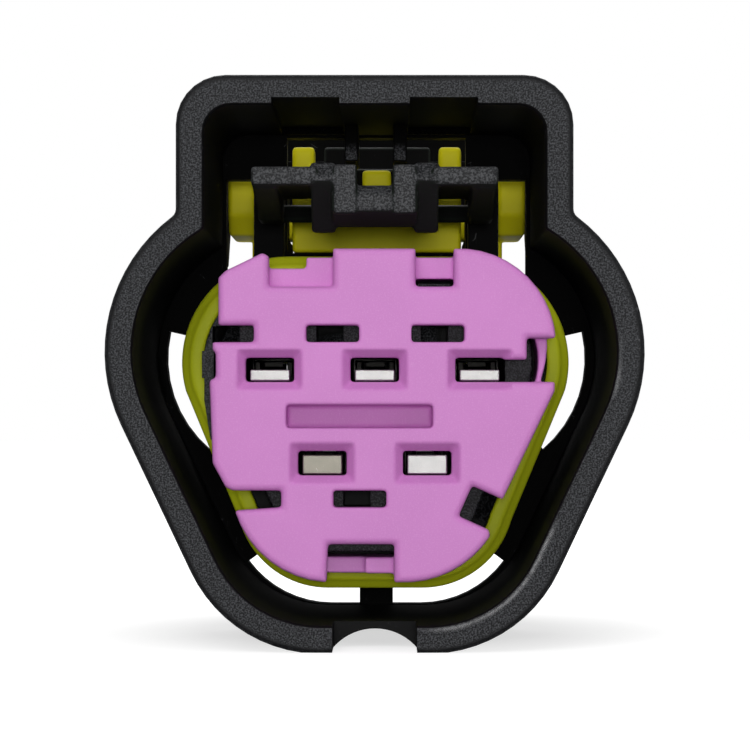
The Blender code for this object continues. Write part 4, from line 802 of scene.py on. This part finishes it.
cableSeal = {  # in millimetres
    "places": ((-6.62, 17.73), (0.0, 17.73), (6.62, 17.73), (-3.31, 11.84), (3.31, 11.84)),
    "hole": 0.85,  # radius
    "shape": {
        "Front": 5.9,
        "Length": 11.1,
        "Seat": 0.0,
        "Wall": 1.2,
        "Rib": 0.34,
        "Ribs": 3.0,
        "Neck Share": 0.315,
        "Neck Drop": 0.7,
        "Around": 64,
    },
}
for number, (x, z) in enumerate(cableSeal["places"], 1):
    path = roundPath(((x, z, cableSeal["hole"], 0, 360),))[:-1]
    sleevePiece(f"cable_seal_{number}", f"cableSeal{number}", olive, path, cableSeal["shape"])
print("pieces dressed")


# Studio

studio = {  # places and sizes in millimetres
    "cameraAt": (1.09, -222.0, 14.94),
    "lens": 153.6,
    "sensor": 36.0,
    "shift": (-0.0227, 0.052),
    "nearest": 10.0,
    "floorSize": 3000.0,
    "floorTone": 0.45,
    "floorRoughness": 0.9,
    "floorGlow": (0.64, 1.0),  # beside the object, where the weaker glow is a painted shadow, and away from it
    # distances over which the painted shadow fades out
    "glowShadowReach": (12.0, 34.0),
    "skyLight": 0.2,
    "lamps": (
        # name, place in millimetres, size, watts, aimed at the object's middle
        ("keyLamp", (-110, -400, 330), 280, 0.85),
        ("frontLamp", (6, -520, 25), 70, 0.8),
        ("fillLamp", (330, -300, 150), 240, 0.25),
        ("backLamp", (0, 300, 300), 300, 0.9),
    ),
}


def cameraShare(tree):
    return addNode(tree, "ShaderNodeLightPath").outputs["Is Camera Ray"]


def makeFloor():
    bm = bmesh.new()
    bmesh.ops.create_grid(bm, x_segments=1, y_segments=1, size=studio["floorSize"] / 2 * mm)
    meshData = bpy.data.meshes.new("studioFloor")
    bm.to_mesh(meshData)
    bm.free()
    look, tree, shader = newMaterial("paleFloor")
    tone = studio["floorTone"]
    setInputs(shader, {"Base Color": (tone, tone, tone, 1), "Roughness": studio["floorRoughness"]})
    shader.inputs["Specular IOR Level"].default_value = 0.0
    shader.inputs["Emission Color"].default_value = (1, 1, 1, 1)
    place = addNode(tree, "ShaderNodeTexCoord").outputs["Object"]
    away = vectorNode(tree, "LENGTH", place, output="Value")
    # the glow is weaker near the object: a painted shadow around it
    near, far = studio["glowShadowReach"]
    glow = mapRange(tree, away, near * mm, far * mm, *studio["floorGlow"])
    feed(tree, shader.inputs["Emission Strength"], product(tree, cameraShare(tree), glow))
    floor = addPiece("studioFloor", meshData, look)


def makeSky():
    sky = bpy.data.worlds.new("studioSky")
    bpy.context.scene.world = sky
    sky.use_nodes = True
    tree = sky.node_tree
    strength = mapRange(tree, cameraShare(tree), 0.0, 1.0, studio["skyLight"], 1.0)
    background = tree.nodes["Background"]
    background.inputs["Color"].default_value = (1, 1, 1, 1)
    tree.links.new(strength, background.inputs["Strength"])


def makeLamps():
    middle = (cadBox[0] + cadBox[1]) / 2
    for name, place, size, watts in studio["lamps"]:
        lamp = bpy.data.lights.new(name, "AREA")
        lamp.size = size * mm
        lamp.energy = watts
        stand = bpy.data.objects.new(name, lamp)
        stand.location = Vector(place) * mm
        stand.rotation_euler = (middle - stand.location).to_track_quat("-Z", "Y").to_euler()
        bpy.context.scene.collection.objects.link(stand)


def makeCamera():
    lens = bpy.data.cameras.new("camera")
    lens.lens = studio["lens"]
    lens.sensor_width = studio["sensor"]
    lens.shift_x, lens.shift_y = studio["shift"]
    lens.clip_start = studio["nearest"] * mm
    camera = bpy.data.objects.new("camera", lens)
    camera.location = Vector(studio["cameraAt"]) * mm
    camera.rotation_euler = (math.pi / 2, 0, 0)
    bpy.context.scene.collection.objects.link(camera)
    bpy.context.scene.camera = camera


makeFloor()
makeSky()
makeLamps()
makeCamera()
bpy.context.scene.view_settings.view_transform = "Standard"
print("studio built")
